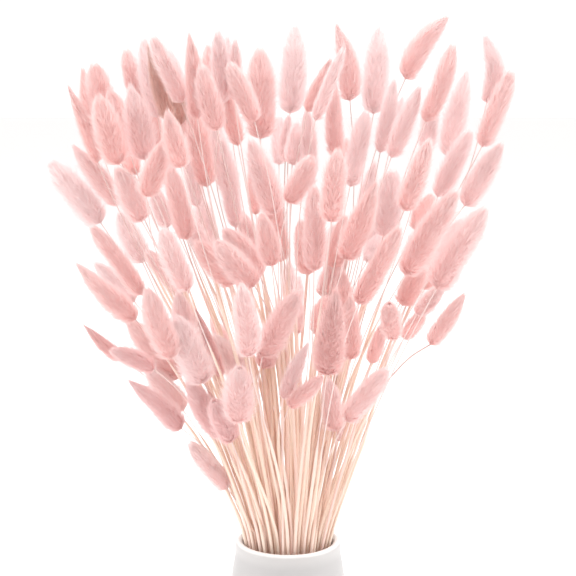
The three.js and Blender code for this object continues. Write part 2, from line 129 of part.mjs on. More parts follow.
  [41, 7, 10.0, -12.7, -16.1, 8.3, -16.3, -18.1, 64.0, -19.8, -20.9, 123.3, -26.9, -18.8, 152.9, -34.6, -16.1, 181.6, -43.2, -12.7, 207.3, -51.0, -17.3, 229.1, -58.1, -36.5, 246.0, -74.7, -49.5, 293.0, 0.0],
  [41, 5, 8.3, -12.7, -16.1, 9.0, -14.2, -19.8, 64.0, -16.7, -23.8, 123.3, -25.7, -16.8, 158.9, -39.7, -10.7, 192.2, -55.4, -12.2, 221.5, -68.6, -19.5, 246.8, -77.3, -56.4, 267.8, -91.3, -72.8, 315.9, 0.0],
  [42, 6, 7.0, -5.1, -20.5, 8.3, -7.9, -22.0, 64.0, -11.4, -23.7, 123.3, -19.6, -33.7, 170.1, -31.4, -43.6, 214.9, -44.5, -54.6, 254.8, -56.4, -65.7, 288.9, -65.3, -76.8, 316.4, -78.7, -92.2, 357.5, 0.0],
  [42, 6, 8.1, -5.1, -20.5, 9.0, -4.3, -23.7, 64.0, -3.4, -27.7, 123.3, -3.9, -29.9, 169.7, -3.7, -31.6, 216.0, -5.6, -33.4, 257.9, -11.7, -42.2, 292.4, -21.9, -67.8, 318.1, -45.4, -80.1, 347.6, 0.0],
  [43, 5, 7.4, 0.0, -20.5, 8.3, 0.2, -24.0, 64.0, 0.1, -28.0, 123.3, -2.7, -40.4, 160.6, -8.8, -52.8, 195.9, -16.1, -65.1, 227.3, -22.0, -77.5, 254.3, -25.4, -89.8, 276.3, -28.5, -112.5, 324.5, 0.0],
  [43, 5, 8.7, 0.0, -20.5, 9.0, -1.4, -21.9, 64.0, -2.7, -23.6, 123.3, -6.1, -27.7, 157.0, -12.4, -31.9, 190.3, -18.2, -36.1, 220.5, -20.1, -40.3, 246.1, -17.2, -44.5, 266.5, 5.9, -59.2, 311.6, 0.0],
  [44, 6, 7.2, 5.1, -20.5, 8.3, 4.8, -23.9, 64.0, 4.7, -27.4, 123.3, 8.7, -36.8, 180.5, 14.1, -46.5, 236.1, 19.5, -62.5, 286.3, 23.9, -79.7, 329.3, 27.0, -96.9, 363.6, 30.4, -113.8, 408.0, 0.0],
  [44, 5, 7.9, 5.1, -20.5, 9.0, 6.1, -21.6, 64.0, 7.0, -23.5, 123.3, 11.1, -34.3, 174.4, 16.2, -45.1, 224.2, 22.3, -55.9, 269.0, 29.5, -66.6, 307.2, 36.8, -77.3, 337.3, 54.3, -95.3, 386.1, 0.0],
  [45, 6, 6.6, 12.7, -16.1, 8.3, 14.1, -19.1, 64.0, 16.6, -21.9, 123.3, 26.9, 12.5, 181.1, 38.3, 19.9, 237.8, 52.0, -4.7, 288.8, 64.7, -36.5, 332.5, 75.0, -68.6, 367.4, 89.0, -81.4, 412.0, 0.0],
  [45, 6, 8.8, 12.7, -16.1, 9.0, 15.7, -17.1, 64.0, 18.6, -19.4, 123.3, 29.4, 18.2, 171.4, 40.8, 25.1, 218.0, 53.5, 0.9, 259.8, 66.3, -25.0, 295.0, 77.8, -50.7, 322.7, 108.3, -66.8, 378.9, 0.0],
  [46, 6, 6.7, 15.2, -11.8, 8.3, 17.2, -13.2, 64.0, 21.0, -14.7, 123.3, 31.8, -13.3, 160.7, 45.9, -13.3, 197.0, 59.4, -17.0, 229.5, 68.0, -24.6, 256.9, 70.9, -38.8, 278.3, 66.1, -65.1, 305.3, 0.0],
  [46, 5, 5.9, 15.2, -11.8, 9.0, 19.8, -14.0, 64.0, 24.6, -16.4, 123.3, 42.5, -15.8, 193.1, 50.4, -13.6, 217.4, 66.4, -14.6, 238.3, 83.2, -17.2, 258.0, 98.3, -19.8, 268.9, 120.1, -24.6, 304.3, 0.0],
  [46, 4, 5.9, 15.2, -11.8, 9.7, 19.1, -11.4, 64.0, 23.2, -11.6, 123.3, 34.7, -9.6, 163.9, 49.1, -7.6, 203.0, 64.7, -5.6, 237.4, 79.1, -3.8, 265.8, 90.6, -1.9, 287.6, 105.7, -24.2, 311.1, 0.0],
  [47, 4, 9.6, 17.7, -7.4, 8.3, 22.1, -9.6, 64.0, 27.3, -12.2, 123.3, 41.0, -16.4, 168.7, 56.5, -20.6, 212.3, 72.6, -24.8, 251.1, 87.6, -29.0, 284.1, 100.3, -33.2, 310.4, 131.1, -44.0, 365.7, 0.0],
  [47, 5, 7.6, 17.7, -7.4, 9.0, 20.8, -7.3, 64.0, 24.7, -7.5, 123.3, 39.1, 1.4, 172.3, 56.4, 10.2, 219.1, 74.9, 18.0, 260.5, 92.6, 18.7, 295.0, 107.6, 12.5, 322.0, 124.3, 23.3, 349.4, 0.0],
  [48, 6, 6.8, 20.2, -3.0, 8.3, 22.9, -3.9, 64.0, 26.1, -5.0, 123.3, 51.1, 16.0, 197.2, 81.2, 36.2, 267.5, 109.2, 38.7, 331.1, 128.5, 24.0, 387.1, 137.3, 8.1, 433.7, 135.1, 9.3, 478.0, 6.2],
  [48, 4, 6.7, 20.2, -3.0, 9.0, 24.6, -5.9, 64.0, 29.8, -9.3, 123.3, 53.6, 9.9, 190.3, 75.5, 30.1, 255.8, 97.0, 42.1, 314.6, 117.0, 21.9, 364.4, 132.9, -5.3, 404.3, 151.8, -6.3, 454.5, 0.7],
  [49, 4, 6.7, 17.7, 1.4, 8.3, 22.8, 3.2, 64.0, 28.2, 4.0, 123.3, 42.3, 13.6, 165.9, 58.5, 23.9, 205.6, 75.0, 34.1, 240.4, 89.6, 44.3, 270.3, 100.6, 54.4, 294.9, 117.2, 66.9, 334.4, 0.0],
  [49, 5, 7.7, 17.7, 1.4, 9.0, 21.5, 0.8, 64.0, 27.8, 0.8, 123.3, 37.0, 7.4, 163.2, 48.8, 12.7, 201.4, 61.1, 17.9, 235.4, 72.6, 23.1, 264.3, 82.4, 28.3, 287.7, 97.3, 33.8, 318.4, 0.0],
  [49, 5, 5.4, 17.7, 1.4, 9.7, 24.0, -0.1, 64.0, 30.3, -1.3, 123.3, 39.8, 1.4, 159.1, 50.5, 3.8, 194.7, 61.5, 6.1, 226.1, 72.5, 8.5, 250.6, 82.8, 10.9, 267.5, 98.9, 36.2, 281.2, 0.0],
  [50, 5, 8.4, 15.2, 5.8, 8.3, 20.6, 6.3, 64.0, 27.1, 7.0, 123.3, 47.3, 20.0, 187.8, 70.6, 32.1, 249.2, 93.8, 44.5, 303.9, 110.2, 57.2, 352.0, 117.5, 70.5, 392.5, 132.8, 86.8, 453.0, 0.0],
  [50, 5, 6.6, 15.2, 5.8, 9.0, 18.3, 7.5, 64.0, 21.9, 9.5, 123.3, 38.5, 47.5, 188.3, 58.2, 68.0, 250.3, 77.5, 73.8, 305.7, 92.9, 79.0, 353.6, 102.5, 84.3, 393.0, 109.0, 97.4, 435.7, 0.0],
  [51, 5, 5.1, 12.7, 10.2, 8.3, 12.9, 13.1, 64.0, 14.0, 16.0, 123.3, 23.8, 29.5, 176.3, 34.2, 43.1, 227.8, 39.3, 55.4, 275.6, 48.4, 63.1, 316.3, 53.5, 68.6, 349.0, 64.9, 80.7, 386.7, 0.0],
  [51, 5, 6.4, 12.7, 10.2, 9.0, 14.8, 11.3, 64.0, 17.2, 13.2, 123.3, 24.9, 33.1, 171.2, 35.8, 45.9, 217.3, 46.5, 52.9, 258.7, 55.6, 60.0, 294.2, 62.6, 67.2, 323.0, 71.2, 82.5, 367.1, 0.0],
  [52, 7, 4.5, 5.1, 14.5, 8.3, 6.4, 14.8, 64.0, 7.6, 15.1, 123.3, 9.0, 27.6, 161.1, 9.0, 40.1, 197.5, 8.0, 53.0, 229.5, 7.0, 66.1, 255.6, 6.8, 79.3, 275.3, 8.5, 101.9, 297.3, 0.0],
  [52, 6, 5.8, 5.1, 14.5, 9.0, 4.7, 16.9, 64.0, 4.4, 19.6, 123.3, 4.7, 34.9, 162.1, 3.4, 50.3, 198.7, 1.4, 65.7, 231.0, 0.1, 81.0, 258.2, 0.0, 96.3, 280.1, 1.6, 114.3, 306.4, 0.0],
  [52, 6, 4.0, 5.1, 14.5, 9.7, 5.2, 12.5, 64.0, 4.9, 10.4, 123.3, 5.7, 18.4, 157.3, 4.2, 26.8, 190.5, 3.4, 35.5, 220.0, 4.8, 44.8, 244.0, 6.7, 54.1, 261.9, 9.1, 77.1, 282.9, 0.0],
  [53, 6, 4.5, 0.0, 14.5, 8.3, -1.2, 14.6, 64.0, -2.4, 15.2, 123.3, -5.1, 32.5, 177.3, -9.6, 49.8, 228.7, -15.1, 67.0, 274.5, -20.4, 84.3, 313.6, -24.6, 101.6, 345.2, -29.3, 116.4, 377.8, 0.0],
  [53, 5, 6.2, 0.0, 14.5, 9.0, -0.1, 17.0, 64.0, -0.3, 19.4, 123.3, -1.5, 38.5, 185.7, -3.4, 58.0, 245.5, -5.4, 77.5, 299.2, -6.7, 96.9, 345.2, -6.9, 116.3, 382.2, -6.2, 132.4, 418.4, 0.0],
  [54, 5, 5.4, -5.1, 14.5, 8.3, -4.7, 16.9, 64.0, -4.4, 19.7, 123.3, -9.0, 31.5, 154.4, -17.2, 43.2, 183.6, -27.5, 54.8, 208.7, -37.6, 66.3, 229.1, -45.8, 77.8, 244.7, -59.4, 98.3, 265.1, 0.0],
  [54, 6, 8.6, -5.1, 14.5, 9.0, -6.3, 13.4, 64.0, -7.9, 12.0, 123.3, -9.8, 15.8, 148.4, -11.1, 20.5, 172.9, -15.1, 23.5, 195.1, -21.0, 26.2, 213.4, -28.0, 29.0, 227.5, -55.0, 41.5, 262.4, 0.0],
  [55, 5, 6.4, -12.7, 10.2, 8.3, -15.3, 12.1, 64.0, -18.0, 14.4, 123.3, -34.0, 28.2, 186.5, -55.3, 41.9, 247.3, -78.1, 55.3, 300.9, -99.4, 64.4, 345.1, -114.3, 73.6, 378.9, -123.0, 96.5, 402.1, 0.0],
  [55, 5, 6.5, -12.7, 10.2, 9.0, -12.9, 13.1, 64.0, -13.9, 16.4, 123.3, -26.0, 54.0, 183.2, -42.1, 90.0, 240.1, -60.4, 100.2, 290.3, -77.2, 97.9, 333.2, -89.5, 95.0, 368.0, -100.8, 111.4, 410.3, 0.0],
  [56, 5, 8.3, -15.2, 5.8, 8.3, -20.3, 6.6, 64.0, -25.5, 7.6, 123.3, -40.1, 18.6, 170.7, -58.1, 29.6, 215.1, -77.1, 40.7, 253.9, -94.3, 51.7, 287.0, -107.8, 62.7, 313.8, -126.0, 74.7, 349.2, 0.0],
  [56, 6, 6.2, -15.2, 5.8, 9.0, -17.7, 6.6, 64.0, -21.6, 7.6, 123.3, -33.5, 14.2, 176.1, -47.7, 20.8, 227.2, -62.5, 27.2, 273.0, -76.1, 33.7, 311.9, -86.9, 40.2, 342.8, -98.2, 51.7, 372.3, 0.0],
  [57, 6, 6.0, -17.7, 1.4, 8.3, -21.7, 0.3, 64.0, -24.9, 0.1, 123.3, -37.4, 1.4, 166.9, -53.4, 2.2, 208.3, -70.9, 3.0, 244.9, -87.8, 3.8, 275.5, -102.3, 4.5, 299.7, -136.6, 6.0, 347.2, 0.0],
  [57, 6, 7.0, -17.7, 1.4, 9.0, -22.1, 3.0, 64.0, -27.4, 4.1, 123.3, -41.3, 13.8, 165.3, -58.2, 23.3, 204.9, -76.8, 32.3, 239.1, -95.4, 37.8, 266.9, -112.0, 40.6, 288.3, -141.3, 49.1, 315.3, 0.0],
  [58, 5, 4.7, -20.2, -3.0, 8.3, -24.9, -5.3, 64.0, -30.1, -8.1, 123.3, -44.4, 4.4, 157.3, -62.8, 13.0, 188.4, -83.1, 20.5, 214.6, -102.4, 21.8, 236.0, -118.1, 5.1, 252.8, -143.4, 10.3, 275.2, -0.7],
  [58, 6, 8.9, -20.2, -3.0, 9.0, -24.2, -1.3, 64.0, -29.1, 0.6, 123.3, -37.6, 5.5, 151.2, -47.0, 9.8, 178.0, -57.1, 14.1, 201.5, -67.6, 18.2, 220.8, -77.7, 22.3, 235.8, -115.3, 32.3, 274.6, 0.0],
];

// ---------------------------------------------------------------- shapes
const vec = (a, i) => new THREE.Vector3(a[i], a[i + 1], a[i + 2]);

// Joins two closed rings of vertices, which may have different counts, with one band of triangles.
function band(a, b, index) {
  let i = 0,
    j = 0;
  while (i < a.length || j < b.length) {
    const stepA =
      j >= b.length || (i < a.length && (i + 1) / a.length <= (j + 1) / b.length);
    const p = a[i % a.length],
      q = b[j % b.length];
    if (stepA) {
      index.push(p, a[(i + 1) % a.length], q);
      i++;
    } else {
      index.push(p, b[(j + 1) % b.length], q);
      j++;
    }
  }
}

// One stem and its head as a closed skin swept along the centre line: a square-cut foot, the sheath,
// the thinner stalk, and the rounded, pointed head.
function stemGeometry(row, origin) {
  const sheath = row[1],
    radius = row[2] * HEAD_CORE;
  const points = [];
  for (let k = 0; k < 8; k++) points.push(vec(row, 3 + 3 * k).sub(origin));
  const base = points[7],
    tip = vec(row, 27).sub(origin),
    axis = tip.clone().sub(base),
    up = axis.clone().normalize(),
    across = new THREE.Vector3(0, 1, 0).cross(up).normalize();
  const onHead = (t) =>
    base.clone().addScaledVector(axis, t).addScaledVector(across, row[30] * 4 * t * (1 - t));
  const sections = points.map((at, k) => {
    const before = k ? at.clone().sub(points[k - 1]).normalize() : null;
    const after = k < 7 ? points[k + 1].clone().sub(at).normalize() : up;
    return {
      at,
      along: before ? before.add(after).normalize() : new THREE.Vector3(0, 0, 1),
      r: k < sheath ? SHEATH_RADIUS : STALK_RADIUS,
      n: STEM_SIDES,
    };
  });
  for (const [t, share] of HEAD_PROFILE)
    sections.push({
      at: onHead(t),
      along: up,
      r: radius * share,
      n: HEAD_SIDES,
    });
  const position = [],
    index = [],
    rings = [];
  let side = new THREE.Vector3(1, 0, 0);
  for (const s of sections) {
    // carried along the line without twist
    side = side.clone().addScaledVector(s.along, -side.dot(s.along)).normalize();
    const other = s.along.clone().cross(side);
    const ring = [];
    for (let m = 0; m < s.n; m++) {
      const a = (2 * Math.PI * m) / s.n;
      const p = s.at
        .clone()
        .addScaledVector(side, Math.cos(a) * s.r)
        .addScaledVector(other, Math.sin(a) * s.r);
      ring.push(position.length / 3);
      position.push(p.x, p.y, p.z);
    }
    rings.push(ring);
  }
  for (let k = 0; k + 1 < rings.length; k++) band(rings[k], rings[k + 1], index);
  for (let m = 1; m + 1 < STEM_SIDES; m++)
    index.push(rings[0][0], rings[0][m + 1], rings[0][m]);
  const end = onHead(HEAD_END),
    last = rings[rings.length - 1],
    top = position.length / 3;
  position.push(end.x, end.y, end.z);
  for (let m = 0; m < last.length; m++)
    index.push(last[m], last[(m + 1) % last.length], top);
  const g = new THREE.BufferGeometry();
  g.setAttribute("position", new THREE.Float32BufferAttribute(position, 3));
  g.setIndex(index);
  return g;
}

function solid(geometry) {
  const g = geometry.clone();
  g.deleteAttribute("normal");
  g.deleteAttribute("uv");
  const m = mergeVertices(g, 1e-4);
  return new wasm.Manifold(
    new wasm.Mesh({
      numProp: 3,
      vertProperties: new Float32Array(m.attributes.position.array),
      triVerts: new Uint32Array(m.index.array),
    }),
  );
}

function geometryOf(manifold) {
  const m = manifold.getMesh(),
    n = m.numProp,
    v = new Float32Array(m.numVert * 3);
  for (let i = 0; i < m.numVert; i++)
    v.set(m.vertProperties.subarray(i * n, i * n + 3), i * 3);
  const g = new THREE.BufferGeometry()
    .setAttribute("position", new THREE.BufferAttribute(v, 3))
    .setIndex(new THREE.BufferAttribute(new Uint32Array(m.triVerts), 1));
  g.computeVertexNormals();
  return g;
}

// ---------------------------------------------------------------- materials
const glaze = new THREE.MeshStandardMaterial({
  color: 0xf1eeea,
  roughness: 0.6,
  metalness: 0,
});
const fur = [0xf3b7b2, 0xf6cfcc, 0xee9f95, 0xd98f8f].map(
  (color) => new THREE.MeshStandardMaterial({ color, roughness: 0.95, metalness: 0 }),
);

// ---------------------------------------------------------------- the vase
// The outer wall from the foot to the lip, then down the inside to the floor.
const vaseProfile = [
  [0, 0],
  [FOOT_RADIUS, 0],
  [FOOT_RADIUS + 2.4, 1.6],
  [42.4, 20],
  [BELLY_RADIUS, 46],
  [43.4, 74],
  [39.9, VASE_HEIGHT - 22],
  [38.0, VASE_HEIGHT - 10],
  [LIP_RADIUS, VASE_HEIGHT - 3.6],
  [36.6, VASE_HEIGHT - 0.6],
  [35.0, VASE_HEIGHT],
  [33.3, VASE_HEIGHT - 0.7],
  [MOUTH_RADIUS, VASE_HEIGHT - 3.6],
  [32.6, VASE_HEIGHT - 11],
  [37.6, 74],
  [38.6, 46],
  [36.6, 22],
  [31.5, VASE_FLOOR],
  [0, VASE_FLOOR],
].map(([r, z]) => new THREE.Vector2(r, z));
const vaseGeometry = new THREE.LatheGeometry(vaseProfile, VASE_SIDES);
const vase = new THREE.Mesh(vaseGeometry, glaze);
vase.name = "vase";
vase.rotation.x = Math.PI / 2; // the lathe turns about Y, and the vase stands along Z

// ---------------------------------------------------------------- the grass
// A tuft is two or three stems that grew from one crown: they share their foot and part above it.
const bunch = new THREE.Group();
const tufts = new Map();
for (const row of STEMS) {
  if (!tufts.has(row[0])) tufts.set(row[0], []);
  tufts.get(row[0]).push(row);
}
for (const [number, rows] of tufts) {
  const origin = vec(rows[0], 3);
  let body = solid(stemGeometry(rows[0], origin));
  for (const row of rows.slice(1)) body = body.add(solid(stemGeometry(row, origin)));
  const mesh = new THREE.Mesh(geometryOf(body), fur[number % fur.length]);
  mesh.name = "tuft_" + String(number).padStart(2, "0");
  mesh.position.copy(origin);
  bunch.add(mesh);
}

const object = new THREE.Group();
object.add(vase, bunch);
export default object;
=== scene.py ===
"""A bunch of dried bunny tail grass, dyed pink, standing in a plain matt white vase.

Everything is in metres in the shared frame: +Z up, the origin at the centre of the vase's foot, -Y the front.
The stems' table below repeats the one in the part's own source, in millimetres.
"""

import bpy
import math
import numpy as np
from mathutils import Matrix, Vector


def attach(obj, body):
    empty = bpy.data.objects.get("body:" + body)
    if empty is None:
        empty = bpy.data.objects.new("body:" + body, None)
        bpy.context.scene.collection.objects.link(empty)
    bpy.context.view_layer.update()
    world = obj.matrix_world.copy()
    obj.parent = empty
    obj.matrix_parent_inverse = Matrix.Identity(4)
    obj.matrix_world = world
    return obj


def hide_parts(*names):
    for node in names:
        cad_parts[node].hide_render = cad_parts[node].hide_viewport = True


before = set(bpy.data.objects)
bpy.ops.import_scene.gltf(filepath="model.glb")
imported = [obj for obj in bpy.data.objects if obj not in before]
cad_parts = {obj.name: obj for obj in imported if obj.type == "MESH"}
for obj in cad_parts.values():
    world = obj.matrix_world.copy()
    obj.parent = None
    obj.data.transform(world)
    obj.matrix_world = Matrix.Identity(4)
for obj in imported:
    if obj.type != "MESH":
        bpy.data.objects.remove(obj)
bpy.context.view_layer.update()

MM = 0.001
TAU = 2 * math.pi

# Each row is one stem with its seed head: the tuft that it grew in, how many of its points are in the leaf
# sheath, the head's furry radius, eight points of its centre line from the foot to the head's base, the head's
# tip, how far the head bends sideways, how blunt its tip is (1.3 pointed to 2.4 round), and its tone: P palest,
# then K, L light, N, M middle, T, S strong, V dusty mauve, W a darker mauve, D dark.
# The tones are partly each head's own dye and partly painted light: heads further back in the bunch were given paler
# tones, and those in front somewhat stronger ones, for the flatter, hazier light over the back of it.
STEMS = [
    (1, 6, 7.4, 0.0, -3.0, 8.3, -0.1, -3.5, 64.0, -0.2, -4.2, 123.3, -3.1, 0.9, 152.0, -9.6, 6.7, 179.1, -15.4, 11.5, 203.8, -18.5, 16.3, 225.1, -17.9, 21.2, 242.8, -5.8, 29.2, 284.0, 0.0, 1.87, "V"),
    (1, 5, 6.6, 0.0, -3.0, 9.0, 3.2, -1.0, 64.0, 7.0, 1.3, 123.3, 10.6, 6.5, 158.0, 12.7, 10.7, 192.6, 15.1, 15.0, 223.5, 18.0, 19.4, 248.8, 21.0, 23.9, 267.9, 27.8, 45.3, 290.0, 0.0, 2.40, "S"),
    (2, 6, 8.5, -2.5, -7.4, 8.3, -6.1, -7.2, 64.0, -10.2, -7.1, 123.3, -11.6, 7.4, 169.9, -11.6, 22.5, 215.7, -17.4, 37.4, 255.8, -27.4, 21.6, 288.0, -36.2, -15.2, 310.8, -62.1, -18.4, 339.2, 0.0, 1.97, "S"),
    (2, 6, 8.1, -2.5, -7.4, 9.0, -2.1, -7.5, 64.0, -1.6, -7.8, 123.3, -0.2, -7.4, 168.9, -0.5, -7.7, 213.9, -2.8, -7.9, 254.5, -9.2, -8.2, 288.4, -19.1, -8.4, 314.6, -43.3, -10.2, 347.1, 0.0, 2.10, "T"),
    (3, 5, 9.8, 2.5, -7.4, 8.3, 2.8, -8.5, 64.0, 4.1, -9.3, 123.3, 0.8, 11.9, 191.0, -5.1, 32.9, 256.4, -11.8, 36.6, 315.5, -17.0, 31.8, 366.6, -19.4, 26.6, 407.8, -19.7, 32.9, 469.1, 0.0, 2.20, "T"),
    (3, 6, 5.2, 2.5, -7.4, 9.0, 5.3, -7.5, 64.0, 7.1, -8.2, 123.3, 7.3, 26.5, 195.3, 2.0, 59.4, 265.4, 1.1, 61.1, 329.1, 5.0, 45.9, 383.3, 13.5, 30.4, 426.5, 29.6, 34.4, 461.5, 0.0, 1.84, "S"),
    (4, 5, 7.6, 5.1, -3.0, 8.3, 4.4, -3.4, 64.0, 3.4, -3.1, 123.3, 6.8, 2.1, 167.8, 10.8, 6.5, 211.2, 14.3, 10.9, 250.4, 15.7, 15.5, 284.2, 14.9, 20.1, 311.6, 9.2, 24.3, 348.5, 0.0, 1.99, "S"),
    (4, 4, 5.5, 5.1, -3.0, 9.0, 6.6, -0.4, 64.0, 10.3, 1.5, 123.3, 17.4, 18.8, 172.3, 27.6, 35.8, 220.9, 39.4, 50.8, 264.1, 49.0, 55.3, 297.5, 57.8, 33.7, 320.1, 67.2, 62.4, 333.5, 0.0, 2.35, "P"),
    (5, 6, 5.7, 2.5, 1.4, 8.3, 1.6, 1.1, 64.0, 1.6, 0.8, 123.3, 4.2, 32.1, 181.8, 9.0, 62.0, 238.5, 13.6, 75.8, 289.9, 15.2, 59.4, 334.4, 15.1, 40.9, 370.3, 13.7, 50.7, 425.1, 0.0, 2.24, "L"),
    (5, 5, 6.3, 2.5, 1.4, 9.0, 5.6, 2.2, 64.0, 8.0, 3.8, 123.3, 13.4, 23.2, 187.3, 21.0, 42.0, 249.3, 27.9, 54.4, 305.3, 32.6, 53.4, 353.5, 34.8, 51.5, 392.5, 33.4, 63.0, 448.4, 0.0, 1.35, "T"),
    (5, 5, 6.1, 2.5, 1.4, 9.7, 3.2, 3.2, 64.0, 4.7, 4.0, 123.3, 4.5, 15.1, 186.5, 3.4, 26.7, 248.3, 1.7, 35.8, 304.0, 1.4, 42.2, 351.0, 3.0, 49.1, 387.6, 6.6, 65.7, 416.4, 0.0, 2.30, "L"),
    (6, 6, 7.2, -2.5, 1.4, 8.3, -3.8, 3.7, 64.0, -5.2, 6.2, 123.3, -10.1, 20.3, 180.9, -18.3, 34.5, 236.5, -25.5, 39.1, 287.7, -33.5, 40.2, 331.5, -40.5, 41.2, 366.6, -54.1, 50.0, 413.6, 0.0, 1.97, "L"),
    (6, 5, 5.7, -2.5, 1.4, 9.0, -2.1, 1.6, 64.0, -1.7, 1.7, 123.3, -5.3, 16.8, 175.7, -14.9, 29.8, 226.2, -25.1, 35.5, 272.2, -32.3, 30.2, 312.3, -37.1, 24.2, 344.8, -46.8, 31.7, 406.2, 0.0, 1.95, "L"),
    (7, 5, 7.5, -5.1, -3.0, 8.3, -4.9, -4.3, 64.0, -6.7, -5.3, 123.3, -13.7, -1.1, 183.5, -24.6, 2.9, 241.4, -37.6, 7.3, 293.5, -49.1, 11.8, 338.4, -57.0, 16.2, 374.8, -66.4, 19.8, 426.4, 0.0, 2.19, "S"),
    (7, 5, 6.7, -5.1, -3.0, 9.0, -7.5, -3.9, 64.0, -9.3, -3.2, 123.3, -15.2, 30.9, 175.2, -30.9, 61.2, 224.3, -48.6, 62.9, 268.2, -62.0, 36.0, 306.9, -70.8, 5.9, 338.6, -82.0, 7.4, 388.3, 0.0, 2.28, "T"),
    (8, 7, 6.2, -7.6, -7.4, 8.3, -9.8, -8.7, 64.0, -11.2, -11.9, 123.3, -19.7, -2.3, 194.7, -31.8, 1.4, 264.1, -44.8, -4.7, 326.9, -54.5, -23.7, 381.3, -59.3, -44.1, 425.2, -63.4, -52.1, 477.5, 0.0, 1.50, "S"),
    (8, 6, 5.3, -7.6, -7.4, 9.0, -10.0, -6.0, 64.0, -12.6, -4.8, 123.3, -23.7, 35.3, 194.7, -37.3, 45.0, 263.9, -53.0, 21.7, 326.3, -67.5, -3.5, 380.0, -78.8, -28.4, 423.1, -91.4, -33.2, 469.2, 0.0, 1.30, "D"),
    (8, 6, 5.9, -7.6, -7.4, 9.7, -7.3, -9.7, 64.0, -8.4, -11.9, 123.3, -18.5, 2.9, 197.8, -29.0, 7.5, 270.4, -42.0, 0.2, 335.9, -56.3, -19.2, 391.5, -69.8, -40.6, 435.4, -87.4, -46.8, 477.5, 0.0, 2.34, "M"),
    (9, 5, 5.4, -5.1, -11.8, 8.3, -4.7, -9.9, 64.0, -4.3, -8.1, 123.3, -7.4, 16.5, 190.0, -12.5, 35.9, 255.5, -20.1, 25.2, 314.2, -27.4, 8.7, 364.7, -34.2, -8.2, 405.2, -44.6, -9.7, 454.5, 0.0, 1.50, "S"),
    (9, 5, 6.9, -5.1, -11.8, 9.0, -5.4, -14.9, 64.0, -4.6, -18.2, 123.3, -11.0, 20.2, 191.2, -20.1, 31.5, 257.5, -28.5, 9.2, 320.1, -38.2, -19.6, 374.4, -46.3, -52.2, 417.8, -55.7, -60.0, 459.1, 0.0, 2.10, "T"),
    (9, 7, 5.7, -5.1, -11.8, 9.7, -3.2, -13.4, 64.0, -2.2, -16.3, 123.3, -8.3, 15.5, 203.7, -16.6, 37.2, 267.8, -39.8, 35.4, 328.4, -51.0, 22.2, 381.6, -44.4, -18.8, 433.4, -46.5, -21.9, 481.0, 0.0, 2.12, "L"),
    (10, 5, 4.2, 0.0, -11.8, 8.3, 2.7, -12.0, 64.0, 5.1, -12.2, 123.3, 6.4, -19.5, 194.7, 5.6, -26.9, 264.5, 5.9, -34.2, 327.7, 10.0, -41.5, 381.6, 17.8, -48.9, 424.1, 35.2, -57.2, 469.2, 0.0, 2.40, "N"),
    (10, 5, 6.2, 0.0, -11.8, 9.0, 0.8, -13.9, 64.0, 2.1, -16.2, 123.3, 2.3, -22.8, 194.5, 0.8, -29.3, 264.3, -3.8, -35.9, 327.4, -11.8, -42.4, 381.2, -21.8, -48.9, 423.4, -37.3, -55.6, 460.3, 0.0, 2.35, "T"),
    (10, 6, 4.2, 0.0, -11.8, 9.7, 0.5, -10.6, 64.0, 1.5, -9.7, 123.3, -2.7, 20.7, 196.9, -11.1, 34.6, 268.5, -21.8, 15.0, 333.8, -30.1, -6.5, 390.3, -36.0, -24.1, 436.9, -35.0, -27.2, 475.1, 0.0, 1.89, "M"),
    (11, 6, 8.3, 5.1, -11.8, 8.3, 6.8, -11.5, 64.0, 8.7, -11.6, 123.3, 10.7, -12.5, 178.9, 9.2, -13.3, 233.3, 4.5, -14.2, 282.8, -2.2, -15.0, 325.0, -9.1, -15.8, 358.7, -24.9, -19.5, 408.0, 2.0, 1.96, "M"),
    (11, 6, 7.0, 5.1, -11.8, 9.0, 5.3, -13.6, 64.0, 5.9, -15.5, 123.3, 5.2, -23.4, 182.6, -0.4, -31.7, 240.9, -5.8, -40.4, 293.5, -5.9, -49.1, 337.7, 0.2, -57.9, 372.0, 14.7, -71.8, 401.2, 0.0, 2.40, "T"),
    (12, 5, 6.6, 7.6, -7.4, 8.3, 8.7, -6.2, 64.0, 10.7, -6.0, 123.3, 17.4, 16.1, 182.7, 24.1, 37.6, 240.3, 30.7, 49.4, 292.2, 37.4, 34.2, 337.9, 43.7, 17.6, 374.7, 54.6, 21.5, 425.6, 0.0, 2.32, "L"),
    (12, 4, 5.5, 7.6, -7.4, 9.0, 11.4, -6.1, 64.0, 15.8, -4.7, 123.3, 25.7, 21.4, 189.2, 39.0, 47.9, 251.9, 51.1, 60.3, 308.5, 59.0, 41.5, 358.2, 64.8, 20.7, 398.3, 74.2, 24.7, 447.8, 0.0, 1.89, "L"),
    (12, 5, 6.0, 7.6, -7.4, 9.7, 9.8, -8.6, 64.0, 12.3, -9.2, 123.3, 23.2, 23.7, 187.3, 36.0, 54.4, 249.9, 48.8, 59.5, 307.3, 60.6, 33.0, 356.7, 71.5, 4.6, 396.0, 90.0, 5.5, 443.4, 0.0, 1.94, "N"),
    (13, 4, 5.5, 10.1, -3.0, 8.3, 13.2, -1.6, 64.0, 16.9, 0.1, 123.3, 21.0, 5.5, 139.6, 26.1, 10.9, 155.1, 31.0, 16.2, 168.5, 34.0, 21.0, 179.8, 35.9, 25.9, 188.5, 43.2, 49.7, 206.0, 0.0, 1.94, "K"),
    (13, 5, 7.3, 10.1, -3.0, 9.0, 14.6, -5.2, 64.0, 19.9, -7.4, 123.3, 25.3, -4.2, 141.0, 29.3, -1.2, 158.4, 32.7, 1.7, 174.3, 34.5, 4.5, 188.1, 34.3, 7.1, 199.8, 28.6, 10.2, 237.4, 0.0, 1.85, "M"),
    (14, 5, 9.0, 7.6, 1.4, 8.3, 10.2, 3.3, 64.0, 13.3, 5.4, 123.3, 22.0, 30.9, 195.2, 36.3, 56.1, 263.3, 47.9, 65.4, 325.3, 55.2, 63.9, 379.8, 62.6, 66.4, 423.5, 67.2, 81.0, 485.8, 0.0, 2.00, "P"),
